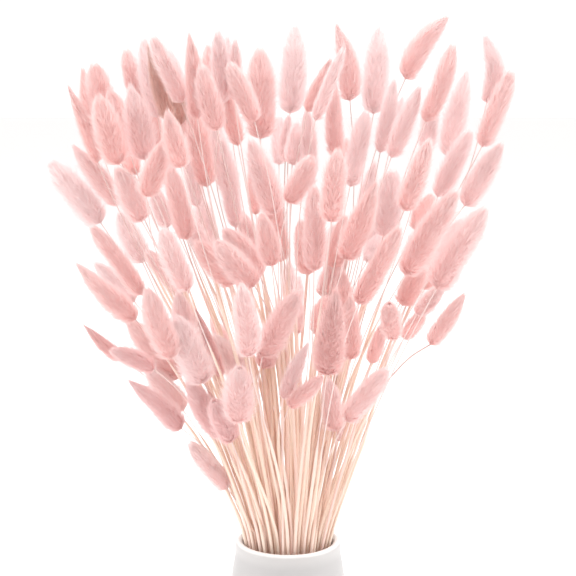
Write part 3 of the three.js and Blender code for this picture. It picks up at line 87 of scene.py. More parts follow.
    (14, 4, 7.6, 7.6, 1.4, 9.0, 9.3, -1.3, 64.0, 9.7, -3.4, 123.3, 17.3, 28.7, 197.2, 31.9, 59.2, 267.9, 45.9, 59.3, 331.8, 47.5, 44.4, 388.4, 43.6, 28.9, 434.3, 34.4, 34.0, 485.1, 3.2, 1.50, "T"),
    (15, 6, 8.1, 5.1, 5.8, 8.3, 6.4, 9.0, 64.0, 8.8, 12.1, 123.3, 11.8, 24.8, 163.1, 14.0, 37.4, 201.0, 16.8, 50.1, 234.5, 21.0, 62.8, 262.8, 26.6, 75.5, 285.3, 44.3, 96.5, 326.0, 0.0, 2.10, "N"),
    (15, 5, 7.6, 5.1, 5.8, 9.0, 8.3, 7.2, 64.0, 11.4, 9.4, 123.3, 15.9, 21.1, 167.9, 22.0, 32.1, 210.8, 25.4, 42.9, 249.6, 29.2, 51.6, 283.4, 33.4, 59.3, 310.7, 42.4, 71.2, 346.6, 0.0, 2.01, "S"),
    (15, 6, 4.1, 5.1, 5.8, 9.7, 5.7, 6.4, 64.0, 6.7, 7.5, 123.3, 10.8, 20.5, 168.2, 16.2, 33.5, 210.6, 21.8, 46.5, 248.4, 26.7, 59.5, 280.7, 30.0, 72.5, 307.1, 33.2, 85.1, 338.9, 0.0, 1.90, "P"),
    (16, 6, 9.4, 0.0, 5.8, 8.3, -0.1, 7.3, 64.0, -0.2, 7.8, 123.3, 0.1, 23.0, 195.1, -0.2, 38.1, 264.3, -0.8, 53.2, 326.6, -0.3, 68.4, 380.1, 1.5, 83.5, 423.1, 5.2, 102.5, 486.8, 0.0, 1.90, "P"),
    (16, 7, 5.2, 0.0, 5.8, 9.0, -0.4, 4.7, 64.0, -0.8, 4.5, 123.3, 0.4, 17.3, 186.7, -0.9, 29.6, 247.9, -2.5, 41.6, 302.9, -3.0, 53.6, 350.3, -2.1, 65.6, 388.5, 0.7, 74.2, 421.1, 0.0, 1.76, "L"),
    (17, 5, 6.0, -5.1, 5.8, 8.3, -4.2, 6.8, 64.0, -3.6, 8.7, 123.3, -12.3, 29.0, 191.2, -28.1, 46.0, 255.8, -46.0, 57.9, 313.3, -61.9, 69.5, 362.8, -73.0, 81.1, 402.9, -79.9, 90.6, 435.2, 0.0, 2.40, "T"),
    (17, 7, 6.5, -5.1, 5.8, 9.0, -4.7, 9.4, 64.0, -3.8, 12.9, 123.3, -9.1, 28.8, 187.4, -18.5, 43.9, 248.8, -30.0, 59.1, 303.8, -41.5, 74.2, 350.6, -51.2, 89.4, 388.1, -63.6, 103.9, 428.8, 0.0, 2.30, "L"),
    (18, 5, 5.8, -7.6, 1.4, 8.3, -6.5, 1.8, 64.0, -5.7, 2.3, 123.3, -17.8, 28.2, 196.9, -31.5, 44.8, 267.4, -51.3, 48.3, 330.2, -65.7, 55.8, 383.5, -76.0, 64.9, 427.9, -86.3, 73.9, 468.4, 0.0, 1.82, "P"),
    (18, 5, 6.5, -7.6, 1.4, 9.0, -10.0, 0.8, 64.0, -11.6, -1.4, 123.3, -25.5, 41.6, 197.7, -47.1, 53.0, 274.8, -73.5, 51.4, 333.5, -91.2, 40.5, 382.7, -104.1, 38.9, 426.2, -115.1, 44.7, 468.9, 0.0, 2.35, "T"),
    (18, 6, 7.4, -7.6, 1.4, 9.7, -11.6, 3.7, 64.0, -16.3, 6.1, 123.3, -28.6, 48.0, 191.7, -51.2, 65.8, 255.0, -68.0, 56.4, 305.5, -83.3, 50.0, 353.8, -94.9, 57.7, 393.5, -103.7, 66.3, 433.1, 0.0, 2.04, "S"),
    (19, 6, 5.6, -10.1, -3.0, 8.3, -8.4, -1.4, 64.0, -6.5, -0.2, 123.3, -16.1, 15.1, 193.9, -30.5, 23.0, 261.9, -47.5, 24.1, 323.1, -63.3, 23.9, 375.5, -75.3, 23.7, 417.8, -87.5, 27.4, 460.9, 0.0, 1.40, "D"),
    (19, 6, 7.5, -10.1, -3.0, 9.0, -12.2, -1.9, 64.0, -15.3, -1.9, 123.3, -31.4, 46.7, 194.3, -50.9, 63.8, 262.7, -71.3, 49.3, 324.1, -84.3, 33.8, 378.4, -90.9, 18.3, 422.9, -100.0, 21.7, 476.0, 0.0, 2.05, "L"),
    (19, 6, 7.4, -10.1, -3.0, 9.7, -13.9, -3.9, 64.0, -17.9, -4.2, 123.3, -33.4, -1.5, 189.4, -53.7, 1.1, 252.4, -75.7, 3.3, 308.7, -95.0, 5.4, 357.1, -109.1, 7.6, 396.5, -122.8, 8.9, 440.6, 0.0, 2.23, "S"),
    (20, 5, 4.1, -12.7, -7.4, 8.3, -14.3, -7.9, 64.0, -16.7, -8.2, 123.3, -22.1, -7.8, 151.8, -28.4, -7.5, 179.2, -35.0, -7.0, 204.1, -41.3, -6.9, 225.3, -46.5, -6.8, 242.7, -63.2, -9.6, 289.7, 0.0, 1.30, "W"),
    (20, 5, 7.7, -12.7, -7.4, 9.0, -16.6, -6.6, 64.0, -20.9, -6.4, 123.3, -29.9, -6.9, 157.8, -40.6, -7.9, 190.9, -51.4, -9.6, 220.8, -60.5, -11.7, 246.5, -66.8, -13.9, 267.8, -75.6, -17.2, 304.4, 0.0, 1.79, "M"),
    (21, 5, 8.1, -10.1, -11.8, 8.3, -11.4, -12.8, 64.0, -13.5, -13.2, 123.3, -25.8, -6.8, 180.5, -43.9, -1.3, 234.7, -64.1, -3.8, 282.8, -83.0, -17.9, 323.8, -97.3, -41.6, 357.0, -112.2, -48.1, 392.2, 0.0, 1.98, "M"),
    (21, 6, 8.2, -10.1, -11.8, 9.0, -14.7, -12.0, 64.0, -20.6, -13.5, 123.3, -36.7, -7.1, 191.5, -57.4, -0.9, 256.4, -75.6, -0.3, 318.2, -89.9, -20.9, 368.9, -109.7, -59.0, 396.3, -120.3, -68.3, 439.1, 0.0, 2.36, "S"),
    (21, 5, 8.8, -10.1, -11.8, 9.7, -12.4, -10.3, 64.0, -13.9, -10.6, 123.3, -27.6, 27.1, 189.5, -47.1, 52.1, 252.6, -67.8, 44.3, 309.2, -84.5, 4.0, 358.3, -94.3, -43.6, 398.3, -101.7, -51.1, 444.9, 0.0, 1.70, "M"),
    (22, 6, 6.7, -7.6, -16.1, 8.3, -7.5, -18.2, 64.0, -8.5, -20.2, 123.3, -17.8, -32.0, 188.7, -31.3, -43.8, 251.6, -46.0, -55.6, 308.2, -59.0, -67.4, 356.8, -68.0, -79.2, 396.0, -74.8, -89.3, 431.1, 0.0, 1.75, "S"),
    (22, 6, 6.8, -7.6, -16.1, 9.0, -10.0, -17.1, 64.0, -12.2, -18.9, 123.3, -27.8, -11.8, 184.2, -52.1, -4.8, 242.1, -75.7, -6.7, 294.0, -89.7, -34.3, 339.1, -91.5, -66.4, 376.2, -78.0, -76.0, 412.9, 0.0, 1.84, "S"),
    (23, 5, 5.3, -2.5, -16.1, 8.3, -0.1, -19.6, 64.0, 2.5, -23.8, 123.3, 1.4, -28.2, 149.3, -1.6, -32.6, 175.2, -4.0, -36.9, 198.6, -3.2, -41.3, 217.7, 1.0, -45.7, 232.1, 22.5, -64.0, 256.1, 0.0, 2.03, "S"),
    (23, 6, 5.1, -2.5, -16.1, 9.0, -1.8, -17.5, 64.0, -0.6, -19.5, 123.3, -1.9, -23.0, 149.7, -4.5, -26.5, 175.7, -6.5, -30.2, 199.2, -6.0, -34.2, 219.2, -3.2, -38.3, 235.2, 12.7, -51.1, 275.0, -1.0, 1.60, "N"),
    (23, 6, 9.8, -2.5, -16.1, 9.7, -4.5, -19.6, 64.0, -6.8, -23.9, 123.3, -10.9, -30.1, 147.8, -18.0, -36.4, 170.9, -25.5, -42.7, 191.6, -31.1, -48.9, 209.4, -33.5, -55.2, 224.3, -32.1, -71.3, 263.8, 0.0, 2.10, "M"),
    (24, 5, 6.8, 2.5, -16.1, 8.3, 5.9, -17.9, 64.0, 9.5, -20.0, 123.3, 12.7, -28.5, 171.5, 15.0, -37.0, 218.6, 16.2, -45.4, 261.2, 16.8, -53.9, 297.8, 17.0, -62.4, 327.2, 16.5, -79.0, 382.7, 0.0, 2.26, "T"),
    (24, 6, 6.2, 2.5, -16.1, 9.0, 3.3, -17.7, 64.0, 4.8, -19.7, 123.3, 5.4, -25.4, 172.9, 3.6, -30.8, 221.2, -0.2, -36.1, 264.8, -5.0, -45.5, 302.0, -9.9, -67.6, 331.4, -16.6, -78.2, 365.3, 0.0, 2.21, "S"),
    (25, 5, 9.4, 7.6, -16.1, 8.3, 9.1, -19.9, 64.0, 11.2, -24.1, 123.3, 14.8, -34.8, 156.8, 18.2, -45.6, 188.8, 21.2, -56.3, 217.4, 23.6, -67.0, 241.8, 25.4, -77.8, 261.8, 30.0, -104.6, 320.0, 0.0, 1.30, "W"),
    (25, 4, 6.5, 7.6, -16.1, 9.0, 10.5, -17.6, 64.0, 13.8, -19.7, 123.3, 19.4, -29.7, 167.5, 24.9, -39.8, 210.3, 31.0, -49.8, 248.7, 38.1, -59.8, 281.0, 45.8, -69.8, 306.6, 70.0, -90.3, 358.5, 0.0, 2.24, "S"),
    (26, 5, 7.4, 10.1, -11.8, 8.3, 12.0, -14.1, 64.0, 14.0, -16.3, 123.3, 17.6, -17.2, 145.5, 22.5, -18.1, 167.0, 28.0, -19.1, 186.4, 34.2, -20.0, 202.5, 40.7, -20.9, 215.2, 67.8, -30.4, 253.2, 0.0, 2.30, "M"),
    (26, 6, 7.8, 10.1, -11.8, 9.0, 10.2, -12.1, 64.0, 10.9, -13.4, 123.3, 16.3, 0.1, 154.6, 24.4, 13.5, 184.6, 34.7, 21.9, 211.6, 41.6, 14.7, 235.4, 43.4, -7.0, 255.7, 43.0, -9.4, 300.2, 0.0, 1.60, "S"),
    (27, 5, 7.7, 12.7, -7.4, 8.3, 13.7, -7.8, 64.0, 15.4, -8.7, 123.3, 25.8, 24.7, 203.0, 36.6, 58.4, 279.7, 51.3, 61.5, 347.6, 65.8, 47.9, 405.2, 82.9, 33.4, 449.4, 112.0, 38.8, 491.4, -2.8, 1.70, "T"),
    (27, 5, 6.4, 12.7, -7.4, 9.0, 14.1, -10.4, 64.0, 16.1, -13.0, 123.3, 31.6, 28.1, 194.5, 49.0, 50.1, 263.1, 67.9, 56.8, 324.8, 83.6, 45.0, 378.1, 94.6, 0.9, 421.0, 112.0, 1.1, 471.9, 1.7, 2.32, "T"),
    (28, 5, 7.8, 15.2, -3.0, 8.3, 17.3, -3.4, 64.0, 20.2, -4.7, 123.3, 35.9, 10.8, 182.7, 57.9, 26.6, 238.4, 82.2, 41.2, 287.7, 105.5, 37.6, 329.3, 123.0, 4.0, 362.7, 147.6, 4.8, 404.4, 0.0, 1.90, "N"),
    (28, 4, 7.0, 15.2, -3.0, 9.0, 19.8, -2.7, 64.0, 24.7, -2.7, 123.3, 41.6, 42.3, 181.6, 61.0, 56.7, 237.3, 81.5, 55.2, 287.1, 101.0, 50.5, 329.3, 105.8, 23.1, 367.0, 128.5, 27.9, 412.7, 0.0, 2.20, "L"),
    (29, 4, 6.5, 12.7, 1.4, 8.3, 15.8, 0.5, 64.0, 19.6, 0.0, 123.3, 32.8, 43.3, 177.3, 47.2, 60.3, 230.3, 63.2, 50.0, 277.4, 78.5, 38.1, 315.5, 91.5, 26.2, 343.7, 104.6, 48.9, 364.6, 0.0, 2.36, "S"),
    (29, 5, 9.2, 12.7, 1.4, 9.0, 14.7, 2.9, 64.0, 17.6, 4.4, 123.3, 28.7, 36.8, 174.1, 40.8, 51.2, 223.0, 53.1, 46.9, 267.2, 62.4, 41.6, 305.5, 68.6, 36.4, 336.8, 75.7, 44.4, 382.4, 0.0, 2.37, "L"),
    (30, 6, 5.0, 10.1, 5.8, 8.3, 15.6, 5.5, 64.0, 22.2, 4.8, 123.3, 30.1, 6.5, 153.1, 39.3, 7.8, 182.0, 47.0, 8.8, 208.5, 53.9, 10.1, 230.8, 59.4, 11.4, 248.7, 69.1, 25.3, 275.9, 0.0, 1.77, "S"),
    (30, 4, 7.9, 10.1, 5.8, 9.0, 12.4, 6.9, 64.0, 15.3, 8.2, 123.3, 20.8, 15.4, 155.7, 27.2, 22.7, 186.8, 33.5, 28.5, 215.2, 36.5, 34.3, 240.0, 38.1, 40.1, 260.3, 39.8, 54.8, 307.8, 0.0, 1.85, "S"),
    (31, 5, 5.0, 7.6, 10.2, 8.3, 9.4, 11.7, 64.0, 12.2, 13.3, 123.3, 20.4, 32.2, 183.7, 29.5, 51.2, 240.8, 37.7, 70.0, 291.8, 42.7, 91.8, 334.1, 44.1, 117.3, 366.7, 46.0, 133.1, 400.6, 0.0, 1.76, "S"),
    (31, 5, 4.3, 7.6, 10.2, 9.0, 11.5, 10.2, 64.0, 15.5, 10.9, 123.3, 27.9, 30.4, 190.4, 42.5, 49.6, 255.6, 55.5, 61.4, 314.8, 67.5, 65.5, 364.9, 76.6, 69.1, 404.4, 85.3, 83.5, 434.0, 0.0, 1.89, "P"),
    (32, 6, 8.0, 2.5, 10.2, 8.3, 1.6, 10.7, 64.0, 0.7, 11.9, 123.3, 0.3, 22.2, 169.0, -0.2, 32.6, 213.2, -1.2, 43.0, 253.1, -3.0, 53.3, 287.1, -5.3, 63.7, 314.5, -13.5, 85.1, 372.9, 0.0, 1.79, "S"),
    (32, 6, 6.7, 2.5, 10.2, 9.0, 2.5, 13.2, 64.0, 2.8, 16.3, 123.3, 2.1, 33.8, 170.1, -1.5, 51.1, 214.3, -7.8, 68.0, 253.1, -15.5, 85.0, 285.7, -23.3, 102.0, 311.9, -37.3, 120.6, 344.8, 0.0, 2.07, "M"),
    (33, 6, 6.7, -2.5, 10.2, 8.3, -1.9, 10.3, 64.0, -1.4, 10.2, 123.3, -6.6, 25.6, 198.2, -16.8, 40.5, 270.3, -29.2, 53.5, 335.4, -39.1, 66.7, 391.5, -44.4, 79.9, 436.9, -45.2, 90.6, 477.9, 0.0, 1.76, "L"),
    (33, 5, 7.0, -2.5, 10.2, 9.0, -3.5, 12.9, 64.0, -5.8, 16.1, 123.3, -13.8, 35.6, 196.6, -25.4, 55.1, 266.9, -38.0, 74.6, 330.0, -48.6, 94.0, 384.1, -56.5, 111.8, 428.3, -61.5, 127.9, 472.1, 0.0, 1.91, "T"),
    (34, 5, 7.4, -7.6, 10.2, 8.3, -9.0, 12.7, 64.0, -10.5, 14.5, 123.3, -17.2, 29.5, 171.0, -26.8, 45.8, 215.3, -38.9, 62.7, 253.6, -49.9, 79.4, 286.2, -58.2, 96.0, 312.8, -70.6, 119.2, 358.2, 0.0, 2.06, "K"),
    (34, 7, 5.5, -7.6, 10.2, 9.0, -10.3, 10.3, 64.0, -12.9, 11.8, 123.3, -24.8, 27.6, 178.2, -35.8, 42.2, 232.0, -47.8, 50.7, 280.5, -58.5, 56.2, 322.1, -66.4, 61.7, 355.7, -75.4, 72.8, 396.2, 0.0, 2.38, "P"),
    (35, 5, 6.6, -10.1, 5.8, 8.3, -10.8, 7.5, 64.0, -11.7, 9.3, 123.3, -17.3, 24.6, 169.7, -23.8, 37.9, 215.3, -32.5, 44.3, 256.0, -43.0, 44.0, 290.1, -54.2, 43.4, 316.7, -74.5, 51.8, 348.1, 0.0, 2.04, "L"),
    (35, 5, 7.2, -10.1, 5.8, 9.0, -14.2, 6.6, 64.0, -18.9, 7.6, 123.3, -26.8, 20.0, 165.1, -35.9, 32.6, 205.3, -47.8, 45.0, 240.5, -61.0, 51.0, 269.4, -74.3, 44.9, 291.3, -103.8, 55.9, 322.5, 0.0, 2.15, "M"),
    (36, 6, 6.2, -12.7, 1.4, 8.3, -14.6, 3.3, 64.0, -18.1, 4.1, 123.3, -37.7, 13.4, 191.1, -65.7, 22.9, 254.0, -95.5, 32.3, 309.6, -120.1, 41.8, 358.0, -135.5, 51.1, 398.3, -148.5, 61.7, 454.8, 0.0, 1.70, "S"),
    (36, 5, 8.3, -12.7, 1.4, 9.0, -14.5, -0.7, 64.0, -18.0, -1.4, 123.3, -35.3, 3.2, 194.5, -60.4, 7.9, 261.6, -87.5, 12.5, 321.4, -110.3, 17.2, 373.1, -125.0, 21.8, 415.8, -135.6, 25.0, 458.8, 0.0, 2.27, "S"),
    (36, 6, 5.6, -12.7, 1.4, 9.7, -16.3, 1.3, 64.0, -20.3, 0.8, 123.3, -39.6, 4.4, 188.9, -65.2, 7.6, 250.7, -92.6, 10.3, 305.6, -116.4, 13.1, 352.9, -133.3, 15.8, 391.7, -152.2, 19.0, 442.4, 1.1, 1.30, "S"),
    (37, 6, 9.6, -15.2, -3.0, 8.3, -18.9, 0.3, 64.0, -23.1, 3.9, 123.3, -40.5, 8.9, 179.7, -63.2, 14.0, 232.8, -88.7, 19.1, 279.1, -113.4, 24.1, 317.5, -134.0, 29.1, 347.7, -170.3, 36.1, 391.3, 0.0, 2.00, "P"),
    (37, 6, 7.2, -15.2, -3.0, 9.0, -18.7, -3.8, 64.0, -22.9, -4.7, 123.3, -38.5, 0.2, 182.2, -57.2, 5.4, 238.6, -78.2, 11.0, 288.2, -99.5, 16.7, 329.4, -118.7, 22.4, 361.3, -151.3, 27.1, 401.5, -1.1, 1.60, "M"),
    (38, 5, 7.4, -17.7, -7.4, 8.3, -21.0, -8.2, 64.0, -25.1, -8.7, 123.3, -32.9, -1.5, 145.1, -42.5, 4.9, 165.5, -54.1, 4.8, 182.6, -65.2, -4.8, 196.7, -74.6, -15.6, 208.0, -108.5, -22.7, 242.6, 0.0, 1.35, "V"),
    (38, 6, 7.7, -17.7, -7.4, 9.0, -22.1, -5.8, 64.0, -27.8, -4.1, 123.3, -36.1, 1.8, 146.1, -46.1, 6.7, 167.3, -56.5, 8.5, 186.0, -66.5, 10.0, 201.5, -75.0, 11.5, 214.0, -100.4, 15.5, 242.8, 0.0, 2.37, "N"),
    (38, 6, 8.2, -17.7, -7.4, 9.7, -17.8, -9.0, 64.0, -17.8, -11.2, 123.3, -22.5, -12.7, 142.7, -29.6, -14.1, 161.0, -36.4, -15.7, 177.7, -41.7, -17.6, 192.2, -46.3, -19.6, 204.1, -68.6, -28.9, 244.4, 0.0, 1.83, "V"),
    (39, 5, 6.1, -20.2, -11.8, 8.3, -22.1, -14.1, 64.0, -24.7, -16.3, 123.3, -35.1, -13.7, 157.0, -48.0, -11.4, 189.6, -62.7, -14.7, 217.7, -77.8, -23.6, 239.5, -91.8, -34.3, 255.0, -117.6, -50.7, 270.8, 0.0, 2.29, "V"),
    (39, 6, 7.5, -20.2, -11.8, 9.0, -23.6, -11.9, 64.0, -27.2, -12.6, 123.3, -39.9, -5.1, 164.7, -55.1, -7.7, 204.1, -71.7, -16.3, 238.7, -88.4, -24.9, 267.1, -103.5, -33.4, 289.0, -139.4, -43.0, 327.1, -1.4, 1.40, "T"),
    (40, 6, 6.5, -15.2, -11.8, 8.3, -18.6, -11.8, 64.0, -22.8, -11.8, 123.3, -25.7, -9.6, 132.8, -29.9, -7.4, 141.3, -34.7, -5.3, 148.5, -39.3, -3.4, 154.6, -43.3, -1.6, 160.0, -69.6, -2.3, 193.7, 0.0, 2.26, "N"),
    (40, 6, 8.0, -15.2, -11.8, 9.0, -15.6, -14.6, 64.0, -15.8, -16.9, 123.3, -18.9, -20.1, 143.3, -24.3, -23.6, 162.4, -30.1, -27.1, 179.4, -35.3, -30.6, 193.7, -39.4, -34.2, 205.2, -49.6, -52.7, 236.9, 0.0, 2.23, "V"),
    (41, 7, 10.0, -12.7, -16.1, 8.3, -16.3, -18.1, 64.0, -19.8, -20.9, 123.3, -26.9, -18.8, 152.9, -34.6, -16.1, 181.6, -43.2, -12.7, 207.3, -51.0, -17.3, 229.1, -58.1, -36.5, 246.0, -74.7, -49.5, 293.0, 0.0, 2.30, "K"),
    (41, 5, 8.3, -12.7, -16.1, 9.0, -14.2, -19.8, 64.0, -16.7, -23.8, 123.3, -25.7, -16.8, 158.9, -39.7, -10.7, 192.2, -55.4, -12.2, 221.5, -68.6, -19.5, 246.8, -77.3, -56.4, 267.8, -91.3, -72.8, 315.9, 0.0, 1.97, "T"),
    (42, 6, 7.0, -5.1, -20.5, 8.3, -7.9, -22.0, 64.0, -11.4, -23.7, 123.3, -19.6, -33.7, 170.1, -31.4, -43.6, 214.9, -44.5, -54.6, 254.8, -56.4, -65.7, 288.9, -65.3, -76.8, 316.4, -78.7, -92.2, 357.5, 0.0, 2.35, "M"),
    (42, 6, 8.1, -5.1, -20.5, 9.0, -4.3, -23.7, 64.0, -3.4, -27.7, 123.3, -3.9, -29.9, 169.7, -3.7, -31.6, 216.0, -5.6, -33.4, 257.9, -11.7, -42.2, 292.4, -21.9, -67.8, 318.1, -45.4, -80.1, 347.6, 0.0, 2.35, "T"),
    (43, 5, 7.4, 0.0, -20.5, 8.3, 0.2, -24.0, 64.0, 0.1, -28.0, 123.3, -2.7, -40.4, 160.6, -8.8, -52.8, 195.9, -16.1, -65.1, 227.3, -22.0, -77.5, 254.3, -25.4, -89.8, 276.3, -28.5, -112.5, 324.5, 0.0, 2.10, "M"),
    (43, 5, 8.7, 0.0, -20.5, 9.0, -1.4, -21.9, 64.0, -2.7, -23.6, 123.3, -6.1, -27.7, 157.0, -12.4, -31.9, 190.3, -18.2, -36.1, 220.5, -20.1, -40.3, 246.1, -17.2, -44.5, 266.5, 5.9, -59.2, 311.6, 0.0, 1.96, "T"),
    (44, 6, 7.2, 5.1, -20.5, 8.3, 4.8, -23.9, 64.0, 4.7, -27.4, 123.3, 8.7, -36.8, 180.5, 14.1, -46.5, 236.1, 19.5, -62.5, 286.3, 23.9, -79.7, 329.3, 27.0, -96.9, 363.6, 30.4, -113.8, 408.0, 0.0, 2.13, "S"),
    (44, 5, 7.9, 5.1, -20.5, 9.0, 6.1, -21.6, 64.0, 7.0, -23.5, 123.3, 11.1, -34.3, 174.4, 16.2, -45.1, 224.2, 22.3, -55.9, 269.0, 29.5, -66.6, 307.2, 36.8, -77.3, 337.3, 54.3, -95.3, 386.1, 0.0, 1.45, "S"),
    (45, 6, 6.6, 12.7, -16.1, 8.3, 14.1, -19.1, 64.0, 16.6, -21.9, 123.3, 26.9, 12.5, 181.1, 38.3, 19.9, 237.8, 52.0, -4.7, 288.8, 64.7, -36.5, 332.5, 75.0, -68.6, 367.4, 89.0, -81.4, 412.0, 0.0, 2.10, "T"),
    (45, 6, 8.8, 12.7, -16.1, 9.0, 15.7, -17.1, 64.0, 18.6, -19.4, 123.3, 29.4, 18.2, 171.4, 40.8, 25.1, 218.0, 53.5, 0.9, 259.8, 66.3, -25.0, 295.0, 77.8, -50.7, 322.7, 108.3, -66.8, 378.9, 0.0, 1.97, "T"),
    (46, 6, 6.7, 15.2, -11.8, 8.3, 17.2, -13.2, 64.0, 21.0, -14.7, 123.3, 31.8, -13.3, 160.7, 45.9, -13.3, 197.0, 59.4, -17.0, 229.5, 68.0, -24.6, 256.9, 70.9, -38.8, 278.3, 66.1, -65.1, 305.3, 0.0, 2.24, "T"),
    (46, 5, 5.9, 15.2, -11.8, 9.0, 19.8, -14.0, 64.0, 24.6, -16.4, 123.3, 42.5, -15.8, 193.1, 50.4, -13.6, 217.4, 66.4, -14.6, 238.3, 83.2, -17.2, 258.0, 98.3, -19.8, 268.9, 120.1, -24.6, 304.3, 0.0, 1.70, "T"),
    (46, 4, 5.9, 15.2, -11.8, 9.7, 19.1, -11.4, 64.0, 23.2, -11.6, 123.3, 34.7, -9.6, 163.9, 49.1, -7.6, 203.0, 64.7, -5.6, 237.4, 79.1, -3.8, 265.8, 90.6, -1.9, 287.6, 105.7, -24.2, 311.1, 0.0, 1.82, "N"),
    (47, 4, 9.6, 17.7, -7.4, 8.3, 22.1, -9.6, 64.0, 27.3, -12.2, 123.3, 41.0, -16.4, 168.7, 56.5, -20.6, 212.3, 72.6, -24.8, 251.1, 87.6, -29.0, 284.1, 100.3, -33.2, 310.4, 131.1, -44.0, 365.7, 0.0, 1.98, "M"),
    (47, 5, 7.6, 17.7, -7.4, 9.0, 20.8, -7.3, 64.0, 24.7, -7.5, 123.3, 39.1, 1.4, 172.3, 56.4, 10.2, 219.1, 74.9, 18.0, 260.5, 92.6, 18.7, 295.0, 107.6, 12.5, 322.0, 124.3, 23.3, 349.4, 0.0, 2.09, "N"),
    (48, 6, 6.8, 20.2, -3.0, 8.3, 22.9, -3.9, 64.0, 26.1, -5.0, 123.3, 51.1, 16.0, 197.2, 81.2, 36.2, 267.5, 109.2, 38.7, 331.1, 128.5, 24.0, 387.1, 137.3, 8.1, 433.7, 135.1, 9.3, 478.0, 6.2, 1.88, "L"),
    (48, 4, 6.7, 20.2, -3.0, 9.0, 24.6, -5.9, 64.0, 29.8, -9.3, 123.3, 53.6, 9.9, 190.3, 75.5, 30.1, 255.8, 97.0, 42.1, 314.6, 117.0, 21.9, 364.4, 132.9, -5.3, 404.3, 151.8, -6.3, 454.5, 0.7, 2.36, "T"),
    (49, 4, 6.7, 17.7, 1.4, 8.3, 22.8, 3.2, 64.0, 28.2, 4.0, 123.3, 42.3, 13.6, 165.9, 58.5, 23.9, 205.6, 75.0, 34.1, 240.4, 89.6, 44.3, 270.3, 100.6, 54.4, 294.9, 117.2, 66.9, 334.4, 0.0, 2.22, "S"),
    (49, 5, 7.7, 17.7, 1.4, 9.0, 21.5, 0.8, 64.0, 27.8, 0.8, 123.3, 37.0, 7.4, 163.2, 48.8, 12.7, 201.4, 61.1, 17.9, 235.4, 72.6, 23.1, 264.3, 82.4, 28.3, 287.7, 97.3, 33.8, 318.4, 0.0, 2.25, "S"),
    (49, 5, 5.4, 17.7, 1.4, 9.7, 24.0, -0.1, 64.0, 30.3, -1.3, 123.3, 39.8, 1.4, 159.1, 50.5, 3.8, 194.7, 61.5, 6.1, 226.1, 72.5, 8.5, 250.6, 82.8, 10.9, 267.5, 98.9, 36.2, 281.2, 0.0, 2.27, "S"),
    (50, 5, 8.4, 15.2, 5.8, 8.3, 20.6, 6.3, 64.0, 27.1, 7.0, 123.3, 47.3, 20.0, 187.8, 70.6, 32.1, 249.2, 93.8, 44.5, 303.9, 110.2, 57.2, 352.0, 117.5, 70.5, 392.5, 132.8, 86.8, 453.0, 0.0, 1.70, "L"),
    (50, 5, 6.6, 15.2, 5.8, 9.0, 18.3, 7.5, 64.0, 21.9, 9.5, 123.3, 38.5, 47.5, 188.3, 58.2, 68.0, 250.3, 77.5, 73.8, 305.7, 92.9, 79.0, 353.6, 102.5, 84.3, 393.0, 109.0, 97.4, 435.7, 0.0, 2.37, "K"),
    (51, 5, 5.1, 12.7, 10.2, 8.3, 12.9, 13.1, 64.0, 14.0, 16.0, 123.3, 23.8, 29.5, 176.3, 34.2, 43.1, 227.8, 39.3, 55.4, 275.6, 48.4, 63.1, 316.3, 53.5, 68.6, 349.0, 64.9, 80.7, 386.7, 0.0, 1.78, "P"),
    (51, 5, 6.4, 12.7, 10.2, 9.0, 14.8, 11.3, 64.0, 17.2, 13.2, 123.3, 24.9, 33.1, 171.2, 35.8, 45.9, 217.3, 46.5, 52.9, 258.7, 55.6, 60.0, 294.2, 62.6, 67.2, 323.0, 71.2, 82.5, 367.1, 0.0, 1.88, "K"),
    (52, 7, 4.5, 5.1, 14.5, 8.3, 6.4, 14.8, 64.0, 7.6, 15.1, 123.3, 9.0, 27.6, 161.1, 9.0, 40.1, 197.5, 8.0, 53.0, 229.5, 7.0, 66.1, 255.6, 6.8, 79.3, 275.3, 8.5, 101.9, 297.3, 0.0, 1.85, "P"),
    (52, 6, 5.8, 5.1, 14.5, 9.0, 4.7, 16.9, 64.0, 4.4, 19.6, 123.3, 4.7, 34.9, 162.1, 3.4, 50.3, 198.7, 1.4, 65.7, 231.0, 0.1, 81.0, 258.2, 0.0, 96.3, 280.1, 1.6, 114.3, 306.4, 0.0, 1.80, "P"),
    (52, 6, 4.0, 5.1, 14.5, 9.7, 5.2, 12.5, 64.0, 4.9, 10.4, 123.3, 5.7, 18.4, 157.3, 4.2, 26.8, 190.5, 3.4, 35.5, 220.0, 4.8, 44.8, 244.0, 6.7, 54.1, 261.9, 9.1, 77.1, 282.9, 0.0, 2.20, "M"),
    (53, 6, 4.5, 0.0, 14.5, 8.3, -1.2, 14.6, 64.0, -2.4, 15.2, 123.3, -5.1, 32.5, 177.3, -9.6, 49.8, 228.7, -15.1, 67.0, 274.5, -20.4, 84.3, 313.6, -24.6, 101.6, 345.2, -29.3, 116.4, 377.8, 0.0, 2.06, "S"),
    (53, 5, 6.2, 0.0, 14.5, 9.0, -0.1, 17.0, 64.0, -0.3, 19.4, 123.3, -1.5, 38.5, 185.7, -3.4, 58.0, 245.5, -5.4, 77.5, 299.2, -6.7, 96.9, 345.2, -6.9, 116.3, 382.2, -6.2, 132.4, 418.4, 0.0, 2.38, "P"),
    (54, 5, 5.4, -5.1, 14.5, 8.3, -4.7, 16.9, 64.0, -4.4, 19.7, 123.3, -9.0, 31.5, 154.4, -17.2, 43.2, 183.6, -27.5, 54.8, 208.7, -37.6, 66.3, 229.1, -45.8, 77.8, 244.7, -59.4, 98.3, 265.1, 0.0, 1.77, "T"),
    (54, 6, 8.6, -5.1, 14.5, 9.0, -6.3, 13.4, 64.0, -7.9, 12.0, 123.3, -9.8, 15.8, 148.4, -11.1, 20.5, 172.9, -15.1, 23.5, 195.1, -21.0, 26.2, 213.4, -28.0, 29.0, 227.5, -55.0, 41.5, 262.4, 0.0, 2.07, "L"),
